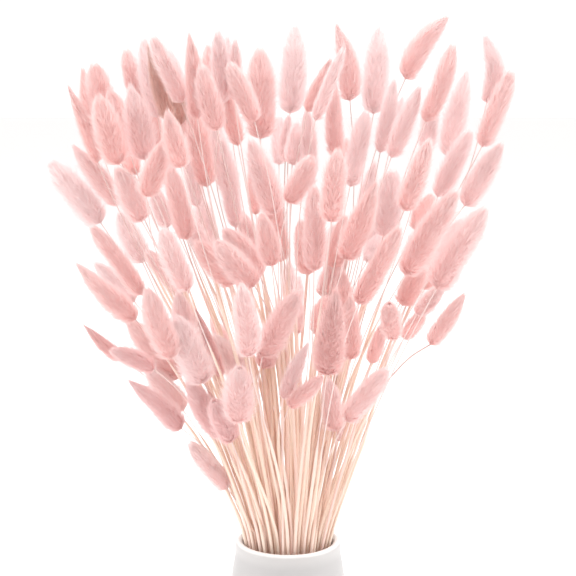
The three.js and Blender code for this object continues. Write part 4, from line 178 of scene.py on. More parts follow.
    (55, 5, 6.4, -12.7, 10.2, 8.3, -15.3, 12.1, 64.0, -18.0, 14.4, 123.3, -34.0, 28.2, 186.5, -55.3, 41.9, 247.3, -78.1, 55.3, 300.9, -99.4, 64.4, 345.1, -114.3, 73.6, 378.9, -123.0, 96.5, 402.1, 0.0, 1.86, "S"),
    (55, 5, 6.5, -12.7, 10.2, 9.0, -12.9, 13.1, 64.0, -13.9, 16.4, 123.3, -26.0, 54.0, 183.2, -42.1, 90.0, 240.1, -60.4, 100.2, 290.3, -77.2, 97.9, 333.2, -89.5, 95.0, 368.0, -100.8, 111.4, 410.3, 0.0, 2.06, "S"),
    (56, 5, 8.3, -15.2, 5.8, 8.3, -20.3, 6.6, 64.0, -25.5, 7.6, 123.3, -40.1, 18.6, 170.7, -58.1, 29.6, 215.1, -77.1, 40.7, 253.9, -94.3, 51.7, 287.0, -107.8, 62.7, 313.8, -126.0, 74.7, 349.2, 0.0, 1.95, "P"),
    (56, 6, 6.2, -15.2, 5.8, 9.0, -17.7, 6.6, 64.0, -21.6, 7.6, 123.3, -33.5, 14.2, 176.1, -47.7, 20.8, 227.2, -62.5, 27.2, 273.0, -76.1, 33.7, 311.9, -86.9, 40.2, 342.8, -98.2, 51.7, 372.3, 0.0, 1.79, "L"),
    (57, 6, 6.0, -17.7, 1.4, 8.3, -21.7, 0.3, 64.0, -24.9, 0.1, 123.3, -37.4, 1.4, 166.9, -53.4, 2.2, 208.3, -70.9, 3.0, 244.9, -87.8, 3.8, 275.5, -102.3, 4.5, 299.7, -136.6, 6.0, 347.2, 0.0, 2.40, "T"),
    (57, 6, 7.0, -17.7, 1.4, 9.0, -22.1, 3.0, 64.0, -27.4, 4.1, 123.3, -41.3, 13.8, 165.3, -58.2, 23.3, 204.9, -76.8, 32.3, 239.1, -95.4, 37.8, 266.9, -112.0, 40.6, 288.3, -141.3, 49.1, 315.3, 0.0, 1.81, "K"),
    (58, 5, 4.7, -20.2, -3.0, 8.3, -24.9, -5.3, 64.0, -30.1, -8.1, 123.3, -44.4, 4.4, 157.3, -62.8, 13.0, 188.4, -83.1, 20.5, 214.6, -102.4, 21.8, 236.0, -118.1, 5.1, 252.8, -143.4, 10.3, 275.2, -0.7, 1.30, "W"),
    (58, 6, 8.9, -20.2, -3.0, 9.0, -24.2, -1.3, 64.0, -29.1, 0.6, 123.3, -37.6, 5.5, 151.2, -47.0, 9.8, 178.0, -57.1, 14.1, 201.5, -67.6, 18.2, 220.8, -77.7, 22.3, 235.8, -115.3, 32.3, 274.6, 0.0, 2.05, "T"),
]

# ------------------------------------------------------------------ camera
cam_data = bpy.data.cameras.new("camera")
cam_data.lens = 89.4
cam_data.sensor_width = 36.0
cam_data.clip_start = 0.05
cam_data.clip_end = 60.0
cam = bpy.data.objects.new("camera", cam_data)
bpy.context.scene.collection.objects.link(cam)
cam.location = (0.0, -0.9863, 0.47005)
look = Vector((0.0, 0.0, 0.305)) - cam.location
cam.rotation_euler = look.to_track_quat("-Z", "Y").to_euler()
bpy.context.scene.camera = cam


# ------------------------------------------------------------------ materials
def new_material(name):
    mat = bpy.data.materials.new(name)
    mat.use_nodes = True
    tree = mat.node_tree
    for n in list(tree.nodes):
        tree.nodes.remove(n)
    return mat, tree


def node(tree, kind, **values):
    n = tree.nodes.new(kind)
    for key, value in values.items():
        setattr(n, key, value)
    return n


def ramp(tree, source, stops, kind="LINEAR"):
    n = node(tree, "ShaderNodeValToRGB")
    n.color_ramp.interpolation = kind
    e = n.color_ramp.elements
    while len(e) > 1:
        e.remove(e[-1])
    e[0].position, e[0].color = stops[0][0], (*stops[0][1], 1)
    for at, colour in stops[1:]:
        e.new(at).color = (*colour, 1)
    tree.links.new(source, n.inputs["Fac"])
    return n.outputs["Color"]


def maths(tree, op, a, b=None, clamp=False):
    n = node(tree, "ShaderNodeMath", operation=op, use_clamp=clamp)
    for i, x in enumerate((a, b)):
        if x is None:
            continue
        if isinstance(x, (int, float)):
            n.inputs[i].default_value = x
        else:
            tree.links.new(x, n.inputs[i])
    return n.outputs["Value"]


def mixed(tree, factor, a, b, blend="MIX"):
    n = node(tree, "ShaderNodeMix", data_type="RGBA", blend_type=blend)
    for at, x in ((0, factor), (6, a), (7, b)):
        if isinstance(x, (int, float)):
            n.inputs[at].default_value = x
        elif isinstance(x, tuple):
            n.inputs[at].default_value = (*x, 1)
        else:
            tree.links.new(x, n.inputs[at])
    return n.outputs[2]


def vector_of(tree, x, y, z=0.0):
    n = node(tree, "ShaderNodeCombineXYZ")
    for i, v in enumerate((x, y, z)):
        if isinstance(v, (int, float)):
            n.inputs[i].default_value = v
        else:
            tree.links.new(v, n.inputs[i])
    return n.outputs[0]


def noise(tree, vector, scale, detail=2.0, rough=0.5):
    n = node(tree, "ShaderNodeTexNoise")
    n.inputs["Scale"].default_value = scale
    n.inputs["Detail"].default_value = detail
    n.inputs["Roughness"].default_value = rough
    tree.links.new(vector, n.inputs["Vector"])
    return n.outputs["Fac"]


def uv_parts(tree):
    uv = node(tree, "ShaderNodeUVMap", uv_map="OFBake")
    sep = node(tree, "ShaderNodeSeparateXYZ")
    tree.links.new(uv.outputs[0], sep.inputs[0])
    return sep.outputs[0], sep.outputs[1]


def attribute(tree, name):
    return node(tree, "ShaderNodeAttribute", attribute_name=name).outputs["Fac"]


# where each tone sits on the colour ramps
TONES = {"P": 0.04, "K": 0.13, "L": 0.22, "N": 0.31, "M": 0.40, "T": 0.50, "S": 0.60, "V": 0.80, "W": 0.88, "D": 0.96}


def fur_material():
    """Dyed fur: strong colour at the roots, pale at the hairs' ends, in lengthwise streaks.
    On the map, u runs round each head and v from a hair's root at the head's base to its end at the head's tip."""
    mat, tree = new_material("dyed_fur")
    u, v = uv_parts(tree)
    tone = attribute(tree, "tone")
    root = ramp(
        tree,
        tone,
        [
            (0.04, (0.952, 0.792, 0.786)),
            (0.22, (0.947, 0.741, 0.73)),
            (0.40, (0.937, 0.681, 0.661)),
            (0.60, (0.922, 0.594, 0.561)),
            (0.80, (0.885, 0.60, 0.59)),
            (0.88, (0.86, 0.53, 0.51)),
            (0.96, (0.73, 0.44, 0.37)),
        ],
    )
    end = ramp(
        tree,
        tone,
        [
            (0.04, (0.959, 0.897, 0.894)),
            (0.22, (0.956, 0.881, 0.877)),
            (0.40, (0.951, 0.857, 0.85)),
            (0.60, (0.94, 0.798, 0.782)),
            (0.80, (0.925, 0.79, 0.785)),
            (0.88, (0.91, 0.73, 0.72)),
            (0.96, (0.84, 0.65, 0.60)),
        ],
    )
    streak = noise(tree, vector_of(tree, maths(tree, "MULTIPLY", u, 90.0), maths(tree, "MULTIPLY", v, 1.6)), 1.0, 2.0)
    hair = noise(tree, vector_of(tree, maths(tree, "MULTIPLY", u, 420.0), maths(tree, "MULTIPLY", v, 3.0), 7.0), 1.0, 1.0)
    at = maths(tree, "POWER", v, 1.15)
    at = maths(tree, "ADD", at, maths(tree, "MULTIPLY", maths(tree, "SUBTRACT", streak, 0.5), 0.22))
    at = maths(tree, "ADD", at, maths(tree, "MULTIPLY", maths(tree, "SUBTRACT", hair, 0.5), 0.24), clamp=True)
    colour = mixed(tree, at, root, end)
    # a few brown streaks on the dark heads
    dark = maths(tree, "MULTIPLY", maths(tree, "SUBTRACT", tone, 0.92), 25.0, clamp=True)
    thin = noise(tree, vector_of(tree, maths(tree, "MULTIPLY", u, 150.0), maths(tree, "MULTIPLY", v, 0.7), 3.0), 1.0, 2.0)
    thin = maths(tree, "MULTIPLY", maths(tree, "SUBTRACT", thin, 0.56), 9.0, clamp=True)
    colour = mixed(tree, maths(tree, "MULTIPLY", maths(tree, "MULTIPLY", thin, dark), 0.62), colour, (0.34, 0.23, 0.18))
    bsdf = node(tree, "ShaderNodeBsdfPrincipled")
    bsdf.inputs["Roughness"].default_value = 0.85
    bsdf.inputs["Specular IOR Level"].default_value = 0.2
    bsdf.inputs["Sheen Weight"].default_value = 0.35
    bsdf.inputs["Sheen Roughness"].default_value = 0.5
    bsdf.inputs["Sheen Tint"].default_value = (1.0, 0.86, 0.85, 1)
    tree.links.new(colour, bsdf.inputs["Base Color"])
    thru = node(tree, "ShaderNodeBsdfTranslucent")
    tree.links.new(colour, thru.inputs["Color"])
    both = node(tree, "ShaderNodeMixShader")
    both.inputs[0].default_value = 0.26
    tree.links.new(bsdf.outputs[0], both.inputs[1])
    tree.links.new(thru.outputs[0], both.inputs[2])
    out = node(tree, "ShaderNodeOutputMaterial")
    tree.links.new(both.outputs[0], out.inputs["Surface"])
    return mat


def straw_material():
    """Dry straw in a leaf sheath, peach with pink where the dye ran, and the bare greyish pink stalk above it.
    On the map, u runs round the stems, a band for each, and v along them."""
    mat, tree = new_material("straw")
    u, v = uv_parts(tree)
    tint = attribute(tree, "tint")
    bare = attribute(tree, "bare")
    streak = noise(tree, vector_of(tree, maths(tree, "MULTIPLY", u, 260.0), maths(tree, "MULTIPLY", v, 5.0)), 1.0, 3.0, 0.6)
    patch = noise(tree, vector_of(tree, maths(tree, "MULTIPLY", u, 40.0), maths(tree, "MULTIPLY", v, 9.0), 4.0), 1.0, 2.0)
    straw = ramp(tree, streak, [(0.25, (0.84, 0.655, 0.53)), (0.45, (0.855, 0.69, 0.575)), (0.62, (0.855, 0.705, 0.60)), (0.8, (0.86, 0.735, 0.645))])
    pink = ramp(tree, streak, [(0.25, (0.85, 0.585, 0.52)), (0.5, (0.865, 0.63, 0.57)), (0.8, (0.87, 0.685, 0.63))])
    dye = maths(tree, "ADD", tint, maths(tree, "MULTIPLY", maths(tree, "SUBTRACT", patch, 0.5), 1.1), clamp=True)
    sheath = mixed(tree, dye, straw, pink)
    stalk = mixed(tree, tint, (0.87, 0.74, 0.71), (0.62, 0.42, 0.39))
    stalk = mixed(tree, maths(tree, "MULTIPLY", streak, 0.35), stalk, (0.64, 0.54, 0.52))
    colour = mixed(tree, bare, sheath, stalk)
    bsdf = node(tree, "ShaderNodeBsdfPrincipled")
    bsdf.inputs["Specular IOR Level"].default_value = 0.35
    tree.links.new(colour, bsdf.inputs["Base Color"])
    rough = maths(tree, "ADD", maths(tree, "MULTIPLY", patch, 0.3), 0.42)
    tree.links.new(rough, bsdf.inputs["Roughness"])
    bump = node(tree, "ShaderNodeBump")
    bump.inputs["Strength"].default_value = 0.3
    bump.inputs["Distance"].default_value = 0.0002
    tree.links.new(streak, bump.inputs["Height"])
    tree.links.new(bump.outputs[0], bsdf.inputs["Normal"])
    out = node(tree, "ShaderNodeOutputMaterial")
    tree.links.new(bsdf.outputs[0], out.inputs["Surface"])
    return mat


def glaze_material():
    """Matt off-white glaze, very slightly mottled, with a fine tooth."""
    mat, tree = new_material("matt_glaze")
    where = node(tree, "ShaderNodeTexCoord").outputs["Object"]
    cloud = noise(tree, where, 22.0, 4.0, 0.6)
    tooth = noise(tree, where, 900.0, 3.0, 0.6)
    colour = ramp(tree, cloud, [(0.3, (0.460, 0.446, 0.443)), (0.7, (0.490, 0.476, 0.474))])
    # painted highlight: the glaze's colour turns paler up over the lip and near white along its top rim, standing in
    # for the top light's highlight there
    high = node(tree, "ShaderNodeSeparateXYZ")
    tree.links.new(where, high.inputs[0])
    high = maths(tree, "ADD", high.outputs[2], maths(tree, "MULTIPLY", cloud, 0.0008))
    near = maths(tree, "MULTIPLY", maths(tree, "SUBTRACT", high, 0.1120), 100.0, clamp=True)
    painted_rim_highlight = maths(tree, "MULTIPLY", maths(tree, "SUBTRACT", high, 0.1206), 700.0, clamp=True)
    # the painted highlight is mixed in: a paler band over the lip, then near white along its rim
    colour = mixed(tree, near, colour, (0.575, 0.555, 0.545))
    colour = mixed(tree, painted_rim_highlight, colour, (0.88, 0.85, 0.83))
    bsdf = node(tree, "ShaderNodeBsdfPrincipled")
    bsdf.inputs["Specular IOR Level"].default_value = 0.6
    tree.links.new(colour, bsdf.inputs["Base Color"])
    rough = maths(tree, "ADD", maths(tree, "MULTIPLY", cloud, 0.14), 0.34)
    tree.links.new(rough, bsdf.inputs["Roughness"])
    bump = node(tree, "ShaderNodeBump")
    bump.inputs["Strength"].default_value = 0.12
    bump.inputs["Distance"].default_value = 0.0002
    tree.links.new(tooth, bump.inputs["Height"])
    tree.links.new(bump.outputs[0], bsdf.inputs["Normal"])
    out = node(tree, "ShaderNodeOutputMaterial")
    tree.links.new(bsdf.outputs[0], out.inputs["Surface"])
    return mat


# ------------------------------------------------------------------ mesh building
def make_mesh(name, verts, faces, uv=None, attributes=None, smooth=False):
    """verts (n, 3) in metres, faces (m, k) with k 3 or 4, uv (m, k, 2), attributes {name: value per vertex}."""
    me = bpy.data.meshes.new(name)
    m, k = faces.shape
    me.vertices.add(len(verts))
    me.vertices.foreach_set("co", verts.astype(np.float32).ravel())
    me.loops.add(m * k)
    me.loops.foreach_set("vertex_index", faces.astype(np.int32).ravel())
    me.polygons.add(m)
    me.polygons.foreach_set("loop_start", np.arange(0, m * k, k, dtype=np.int32))
    if uv is not None:
        layer = me.uv_layers.new(name="OFBake")
        layer.uv.foreach_set("vector", uv.astype(np.float32).ravel())
    for key, value in (attributes or {}).items():
        a = me.attributes.new(key, "FLOAT", "POINT")
        a.data.foreach_set("value", value.astype(np.float32))
    me.update(calc_edges=True)
    me.polygons.foreach_set("use_smooth", np.full(m, smooth))
    me.update()
    ob = bpy.data.objects.new(name, me)
    bpy.context.scene.collection.objects.link(ob)
    return ob


def unit(a):
    return a / np.maximum(np.linalg.norm(a, axis=-1, keepdims=True), 1e-12)


# ------------------------------------------------------------------ seed heads
def outline(s, blunt):
    """The furry outline's radius as a share of the widest, along the head from 0 at its base to 1 at its tip. The higher blunt is, the rounder the tip."""
    s = np.clip(s, 1e-4, 0.9999)
    rise = np.sqrt(1 - (1 - np.clip(s / 0.18, 0, 1)) ** 2)
    sharp = min(max((2.4 - blunt) / 0.9, 0.0), 1.0)
    fall = (1 - np.clip((s - 0.22) / 0.78, 0, 1) ** (1.6 + 0.3 * sharp + 2.2 * (blunt - 1.3))) ** (0.5 + 0.26 * sharp)
    return rise * fall


class Head:
    """One seed head: where a point lies that is a share s along it, at an angle round it and a share of its outline's radius out."""

    def __init__(self, base, tip, radius, bow, blunt, rng):
        self.base, self.radius = base, radius * 0.95
        axis = tip - base
        self.length = float(np.linalg.norm(axis))
        self.axis = axis / self.length
        side = np.cross(self.axis, [0.31, 0.17, 0.93] if abs(self.axis[2]) < 0.9 else [1.0, 0.2, 0.1])
        self.e1 = side / np.linalg.norm(side)
        self.e2 = np.cross(self.axis, self.e1)
        across = np.cross([0.0, 1.0, 0.0], self.axis)
        self.bow = bow * across / np.linalg.norm(across)
        self.blunt = blunt
        self.bend = rng.normal(0, 0.012 * self.length, 2)
        self.waves = [(rng.integers(1, 4), rng.uniform(3, 11), rng.uniform(0, TAU), rng.uniform(0.02, 0.04)) for _ in range(5)]

    def centre(self, s):
        b = 4 * s * (1 - s) * (s < 1)
        return (
            self.base
            + self.axis * (s * self.length)[:, None]
            + self.e1 * (b * self.bend[0])[:, None]
            + self.e2 * (b * self.bend[1])[:, None]
            + self.bow * b[:, None]
        )

    def reach(self, s, az):
        r = outline(np.minimum(s, 0.965), self.blunt)
        r = np.where(s > 0.965, r * np.clip(1 - (s - 0.965) / 0.16, 0.12, 1), r)
        lump = sum(a * np.sin(k * az + f * s + p) for k, f, p, a in self.waves)
        return self.radius * r * (1 + lump)

    def out(self, az):
        return np.cos(az)[:, None] * self.e1 + np.sin(az)[:, None] * self.e2

    def point(self, s, az, share):
        return self.centre(s) + self.out(az) * (self.reach(s, az) * share)[:, None]


def hairs(head, rng, s0, az0, share0, s1, az1, share1, width, v_span, bow, band, roll=0.62, turned=0.0):
    """Hairs from one place to another on a head. With a bow they curve, in three faces each; with none they are one face each. Their flat sides face outwards, give or take roll, once turned about their own length."""
    n = len(s0)
    a = head.point(s0, az0, share0)
    b = head.point(s1, az1, share1)
    d = unit(b - a)
    out = head.out((az0 + az1) / 2)
    w = unit(np.cross(d, out))
    lift = unit(np.cross(w, d))
    roll = (turned + rng.uniform(-roll, roll, n))[:, None]
    w = w * np.cos(roll) + lift * np.sin(roll)
    # round the head, a hair reads the streak that it grows in
    place = (az0 / TAU + rng.normal(0, 0.02, n)) % 1.0
    u = band[0] + (band[1] - band[0]) * (0.05 + 0.90 * place)
    half = np.full(n, (band[1] - band[0]) * 0.012)
    v0 = np.clip(0.62 * v_span[0] + 0.38 * (0.35 + 0.65 * np.clip(s0, 0, 1)), 0.004, 0.996)
    v1 = np.clip(0.62 * v_span[1] + 0.38 * (0.35 + 0.65 * np.clip(s1, 0, 1)), 0.004, 0.996)
    if bow is None:
        verts = np.stack([a - w * width[:, None] / 2, a + w * width[:, None] / 2, b], 1)
        faces = np.arange(3 * n).reshape(n, 3)
        uv = np.stack(
            [np.stack([u - half, v0], 1), np.stack([u + half, v0], 1), np.stack([u, v1], 1)], 1
        )
        return verts.reshape(-1, 3), faces, uv
    mid = (a + b) / 2 + lift * (bow * np.linalg.norm(b - a, axis=1))[:, None]
    vm = (v0 + v1) / 2
    root, wide = width[:, None] * 0.32, width[:, None] * 0.5
    verts = np.stack([a - w * root, a + w * root, mid + w * wide, mid - w * wide, b], 1)
    i = 5 * np.arange(n)[:, None]
    faces = np.concatenate([i + [0, 1, 2], i + [0, 2, 3], i + [3, 2, 4]], 1).reshape(-1, 3)
    p = np.stack([np.stack([u - half, v0], 1), np.stack([u + half, v0], 1), np.stack([u + half, vm], 1), np.stack([u - half, vm], 1), np.stack([u, v1], 1)], 1)
    uv = np.stack([p[:, [0, 1, 2]], p[:, [0, 2, 3]], p[:, [3, 2, 4]]], 1).reshape(-1, 3, 2)
    return verts.reshape(-1, 3), faces, uv


def seed_head(base, tip, radius, bow, blunt, tone, seed, band):
    """The fur of one head: a plain core, broad blades that show as streaks, hairs, a pale fuzz and the long awns at its tip."""
    rng = np.random.default_rng(seed)
    head = Head(base, tip, radius, bow, blunt, rng)
    k = FULLNESS * radius * head.length / (5.9 * 46.0)
    made = []

    # core
    sides, rings = 14, 10
    s = np.linspace(0.03, 0.93, rings)
    az = np.arange(sides + 1) * TAU / sides
    grid_s, grid_a = np.repeat(s, sides), np.tile(az[:-1], rings)
    pts = head.point(grid_s, grid_a, np.full(len(grid_s), 0.70))
    ends = head.centre(np.array([0.015, 0.95]))
    verts = np.vstack([pts, ends])
    faces, uv = [], []
    width = band[1] - band[0]

    # painted light: the core takes colours paler than the hairs' roots, to lift the shade that shows in the gaps
    # between the locks
    def at(i, j):
        return (band[0] + width * (0.05 + 0.90 * j / sides), 0.42 + 0.35 * s[i])

    for i in range(rings - 1):
        for j in range(sides):
            q = (j + 1) % sides
            a, b, c, d = i * sides + j, i * sides + q, (i + 1) * sides + q, (i + 1) * sides + j
            faces += [(a, b, c), (a, c, d)]
            uv += [(at(i, j), at(i, j + 1), at(i + 1, j + 1)), (at(i, j), at(i + 1, j + 1), at(i + 1, j))]
    for j in range(sides):
        q = (j + 1) % sides
        n = rings * sides
        faces += [(n, q, j), (n + 1, (rings - 1) * sides + j, (rings - 1) * sides + q)]
        # painted light: the caps inside the head's base and tip are paler still, to lift the shade under the head
        uv += [
            ((at(0, j + 0.5)[0], 0.80), at(0, j + 1), at(0, j)),
            ((at(0, j + 0.5)[0], 0.77), at(rings - 1, j), at(rings - 1, j + 1)),
        ]
    made.append((verts, np.array(faces), np.array(uv)))

    # the fur grows in small locks, which draw the hairs together a little
    count = max(12, int(48 * k))
    lock_az, lock_s = rng.uniform(0, TAU, count), rng.uniform(0.06, 1.0, count)
    lock_share = rng.normal(1.0, 0.035, count)
    # a pointed head's hairs run on past its end
    point = 0.08 * min(max((1.7 - blunt) / 0.4, 0.0), 1.0)

    def drawn(az, s, share, pull):
        gap_az = (lock_az[None] - az[:, None] + math.pi) % TAU - math.pi
        gap_s = lock_s[None] - s[:, None]
        near = np.argmin((gap_az * radius) ** 2 + (gap_s * head.length * 0.45) ** 2, 1)
        rows = np.arange(len(az))
        return (
            az + pull * gap_az[rows, near],
            s + 0.4 * pull * gap_s[rows, near],
            share * lock_share[near],
        )

    def layer(number, reach, first, last, size, v_span, bow, pull, s_from=-0.01, s_to=0.93, roll=0.62, turned=0.0, stray=0.07, far=1.03):
        n = int(number * k)
        s0 = rng.uniform(s_from, s_to, n)
        az0 = rng.uniform(0, TAU, n)
        run = rng.uniform(*reach, n) / head.length
        run = np.where(s0 < 0.12, run * rng.uniform(0.2, 0.75, n), run)
        az1, s1, share1 = drawn(az0 + rng.normal(0, stray, n), np.minimum(s0 + run, rng.uniform(0.94, far + point, n)), rng.uniform(*last, n), pull)
        return hairs(
            head, rng, s0, az0, rng.uniform(*first, n), s1, az1, share1,
            rng.uniform(*size, n), v_span, None if bow is None else rng.uniform(*bow, n), band, roll, turned,
        )

    made.append(layer(620, (6.5, 10.0), (0.60, 0.70), (0.78, 0.90), (0.8, 1.2), (0.10, 0.70), None, 0.10, -0.01, 0.92))
    made.append(layer(2200, (5.5, 8.5), (0.64, 0.76), (0.85, 1.00), (0.28, 0.42), (0.10, 0.80), None, 0.26, -0.01, 0.94, stray=0.13))
    # the fuzz stands on edge, so it is thin over the middle of the head and shows as a pale rim round it
    # its hairs take the pale end of the ramps: partly the fur's paler tips, and partly painted light for the glow of
    # light coming through the fur round each head
    made.append(layer(2600, (4.0, 7.5), (0.80, 0.94), (1.02, 1.62), (0.18, 0.28), (0.80, 1.15), None, 0.10, -0.01, 0.97, 0.6, math.pi / 2, 0.20, 1.08))

    # the base's hairs part round the stalk
    n = int(240 * k)
    az0 = rng.uniform(0, TAU, n)
    made.append(
        hairs(head, rng, rng.uniform(0.004, 0.05, n), az0, rng.uniform(0.15, 0.8, n), rng.uniform(0.01, 0.09, n), az0 + rng.normal(0, 0.2, n),
              rng.uniform(1.0, 1.25, n), rng.uniform(0.34, 0.5, n), (0.7, 1.05), None, band)
    )
    # awns at the tip, fraying, and a few along the sides
    n = int(260 * k)
    s0 = rng.uniform(0.60, 0.94, n)
    az0 = rng.uniform(0, TAU, n)
    s1 = np.minimum(s0 + rng.uniform(8, 14, n) / head.length, rng.uniform(0.97, 1.11, n))
    made.append(
        hairs(head, rng, s0, az0, np.full(n, 0.8), s1, az0 + rng.normal(0, 0.25, n), rng.uniform(0.9, 3.6, n),
              rng.uniform(0.20, 0.32, n), (0.5, 1.05), None, band)
    )
    n = int(40 * k)
    s0 = rng.uniform(0.1, 0.8, n)
    az0 = rng.uniform(0, TAU, n)
    made.append(
        hairs(head, rng, s0, az0, np.full(n, 0.85), s0 + rng.uniform(6, 10, n) / head.length, az0 + rng.normal(0, 0.1, n),
              rng.uniform(1.15, 1.45, n), rng.uniform(0.14, 0.20, n), (0.5, 1.0), rng.uniform(-0.03, 0.05, n), band)
    )
    verts, faces, uv, start = [], [], [], 0
    for v, f, t in made:
        verts.append(v)
        faces.append(f + start)
        uv.append(t)
        start += len(v)
    verts = np.vstack(verts)
    return verts, np.vstack(faces), np.vstack(uv), np.full(len(verts), TONES[tone] + rng.uniform(-0.02, 0.02))


# ------------------------------------------------------------------ stems
def smooth_line(points, per):
    """A Catmull-Rom curve through the points, with a share along the points for each place on it."""
    p = np.vstack([2 * points[0] - points[1], points, 2 * points[-1] - points[-2]])
    made, at = [], []
    for i in range(len(points) - 1):
        a, b, c, d = p[i : i + 4]
        t = np.linspace(0, 1, per, endpoint=False)[:, None]
        made.append(0.5 * (2 * b + (c - a) * t + (2 * a - 5 * b + 4 * c - d) * t**2 + (3 * b - a - 3 * c + d) * t**3))
        at.append(i + t[:, 0])
    made.append(points[-1:])
    at.append(np.array([len(points) - 1.0]))
    return np.vstack(made), np.concatenate(at)


def stem(points, sheath, base, tip, seed, band, shown=False):
    """One stem: its leaf sheath with a node or two, and the thin bare stalk that goes up into the seed head."""
    rng = np.random.default_rng(seed)
    line, at = smooth_line(points, 5)
    inner = base + (tip - base) * 0.25
    line = np.vstack([line, inner])
    at = np.append(at, at[-1] + 0.4)
    n, sides = len(line), 6
    along = np.concatenate([[0], np.cumsum(np.linalg.norm(np.diff(line, axis=0), axis=1))])
    v = along / along[-1]
    # the sheath ends below the heads
    end = min(sheath - 1 + 0.35, at[line[:, 2] < 300.0][-1])
    bare = np.clip((at - end) / 0.45, 0, 1)
    fat = rng.uniform(0.95, 1.24)
    radius = fat * (1 - bare) * (1.0 - 0.10 * at / max(end, 1)) + bare * rng.uniform(0.34, 0.44)
    if shown:
        radius = np.maximum(radius, 0.54)
    for k in range(rng.integers(1, 3)):
        spot = rng.uniform(1.5, max(end - 0.3, 2.0))
        radius *= 1 + 0.28 * np.exp(-(((at - spot) / 0.12) ** 2))
    tangent = unit(np.gradient(line, axis=0))
    side = unit(np.cross(tangent, np.array([0.3, 1.0, 0.1])))
    up = np.cross(tangent, side)
    a = np.arange(sides) * TAU / sides + rng.uniform(0, TAU) + 0.9 * v[:, None] * rng.uniform(-1, 1)
    flat = 1 + 0.22 * (1 - bare)[:, None] * np.cos(2 * a + 0.4)
    ring = radius[:, None] * flat
    verts = line[:, None] + ring[..., None] * (np.cos(a)[..., None] * side[:, None] + np.sin(a)[..., None] * up[:, None])
    verts = np.concatenate([verts.reshape(-1, 3), line[:1], line[-1:]])
    i, j = np.meshgrid(np.arange(n - 1), np.arange(sides), indexing="ij")
    i, j = i.ravel(), j.ravel()
    q = (j + 1) % sides
    A, B, C, D = i * sides + j, i * sides + q, (i + 1) * sides + q, (i + 1) * sides + j
    width = band[1] - band[0]
    U = lambda x: band[0] + width * (0.06 + 0.88 * x / sides)
    V = 0.004 + 0.992 * v
    quad = lambda x, y: np.stack([U(x), V[y]], 1)
    faces = np.concatenate([np.stack([A, B, C], 1), np.stack([A, C, D], 1)])
    uv = np.concatenate([
        np.stack([quad(j, i), quad(j + 1, i), quad(j + 1, i + 1)], 1),
        np.stack([quad(j, i), quad(j + 1, i + 1), quad(j, i + 1)], 1),
    ])
    cap_f, cap_uv = [], []
    for j in range(sides):
        q = (j + 1) % sides
        cap_f += [(n * sides, q, j), (n * sides + 1, (n - 1) * sides + j, (n - 1) * sides + q)]
        cap_uv += [((U(j + 0.5), 0.0), (U(j + 1), V[0]), (U(j), V[0])), ((U(j + 0.5), 1.0), (U(j), V[-1]), (U(j + 1), V[-1]))]
    faces = np.concatenate([faces, np.array(cap_f)])
    uv = np.concatenate([uv, np.array(cap_uv)])
    bare_v = np.concatenate([np.repeat(bare, sides), [bare[0], bare[-1]]])
    tint = 1.0 if shown else np.clip(rng.choice([0.05, 0.2, 0.35, 0.6, 1.0], p=[0.34, 0.26, 0.2, 0.14, 0.06]) + rng.uniform(-0.05, 0.05), 0, 1)
    return verts, faces, uv, bare_v, np.full(len(verts), tint)


# ------------------------------------------------------------------ the pieces
fur, straw, glaze = fur_material(), straw_material(), glaze_material()
tufts = sorted({row[0] for row in STEMS})
GROUPS = 10
groups = [tufts[round(i * len(tufts) / GROUPS) : round((i + 1) * len(tufts) / GROUPS)] for i in range(GROUPS)]


# the number of hairs goes by each head's size, and this share scales them all down together once the heads are many or
# large enough
SIZES = sum(row[2] * math.dist(row[24:27], row[27:30]) / (5.9 * 46.0) for row in STEMS)
FULLNESS = min(1.0, 139.0 / SIZES)


def gather(parts):
    """Joins the parts' arrays into one mesh's: vertices, faces, map and one attribute or more."""
    start, out = 0, [[] for _ in parts[0]]
    for p in parts:
        for i, a in enumerate(p):
            out[i].append(a + start if i == 1 else a)
        start += len(p[0])
    return [np.concatenate(a) for a in out]


# the stalk that bows out alone at the right is stout and reddish
OUTLYING = 103

faces_made = 0
for g, members in enumerate(groups):
    rows = [(i, row) for i, row in enumerate(STEMS) if row[0] in members]
    names = ["tuft_%02d" % t for t in members]
    furs, canes = [], []
    for k, (i, row) in enumerate(rows):
        points = np.array(row[3:27], float).reshape(8, 3)
        tip = np.array(row[27:30], float)
        band = (0.002 + 0.996 * k / len(rows), 0.002 + 0.996 * (k + 1) / len(rows))
        furs.append(seed_head(points[-1], tip, row[2], row[30], row[31], row[32], 500 + i, band))
        canes.append(stem(points, row[1], points[-1], tip, 900 + i, band, i == OUTLYING))
    v, f, t, tone = gather(furs)
    ob = make_mesh("heads_%02d" % (g + 1), v * MM, f, t, {"tone": tone})
    ob.data.materials.append(fur)
    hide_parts(*names)
    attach(ob, "root")
    faces_made += len(f)
    v, f, t, bare, tint = gather(canes)
    ob = make_mesh("stems_%02d" % (g + 1), v * MM, f, t, {"bare": bare, "tint": tint}, smooth=True)
    ob.data.materials.append(straw)
    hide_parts(*names)
    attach(ob, "root")
    faces_made += len(f)


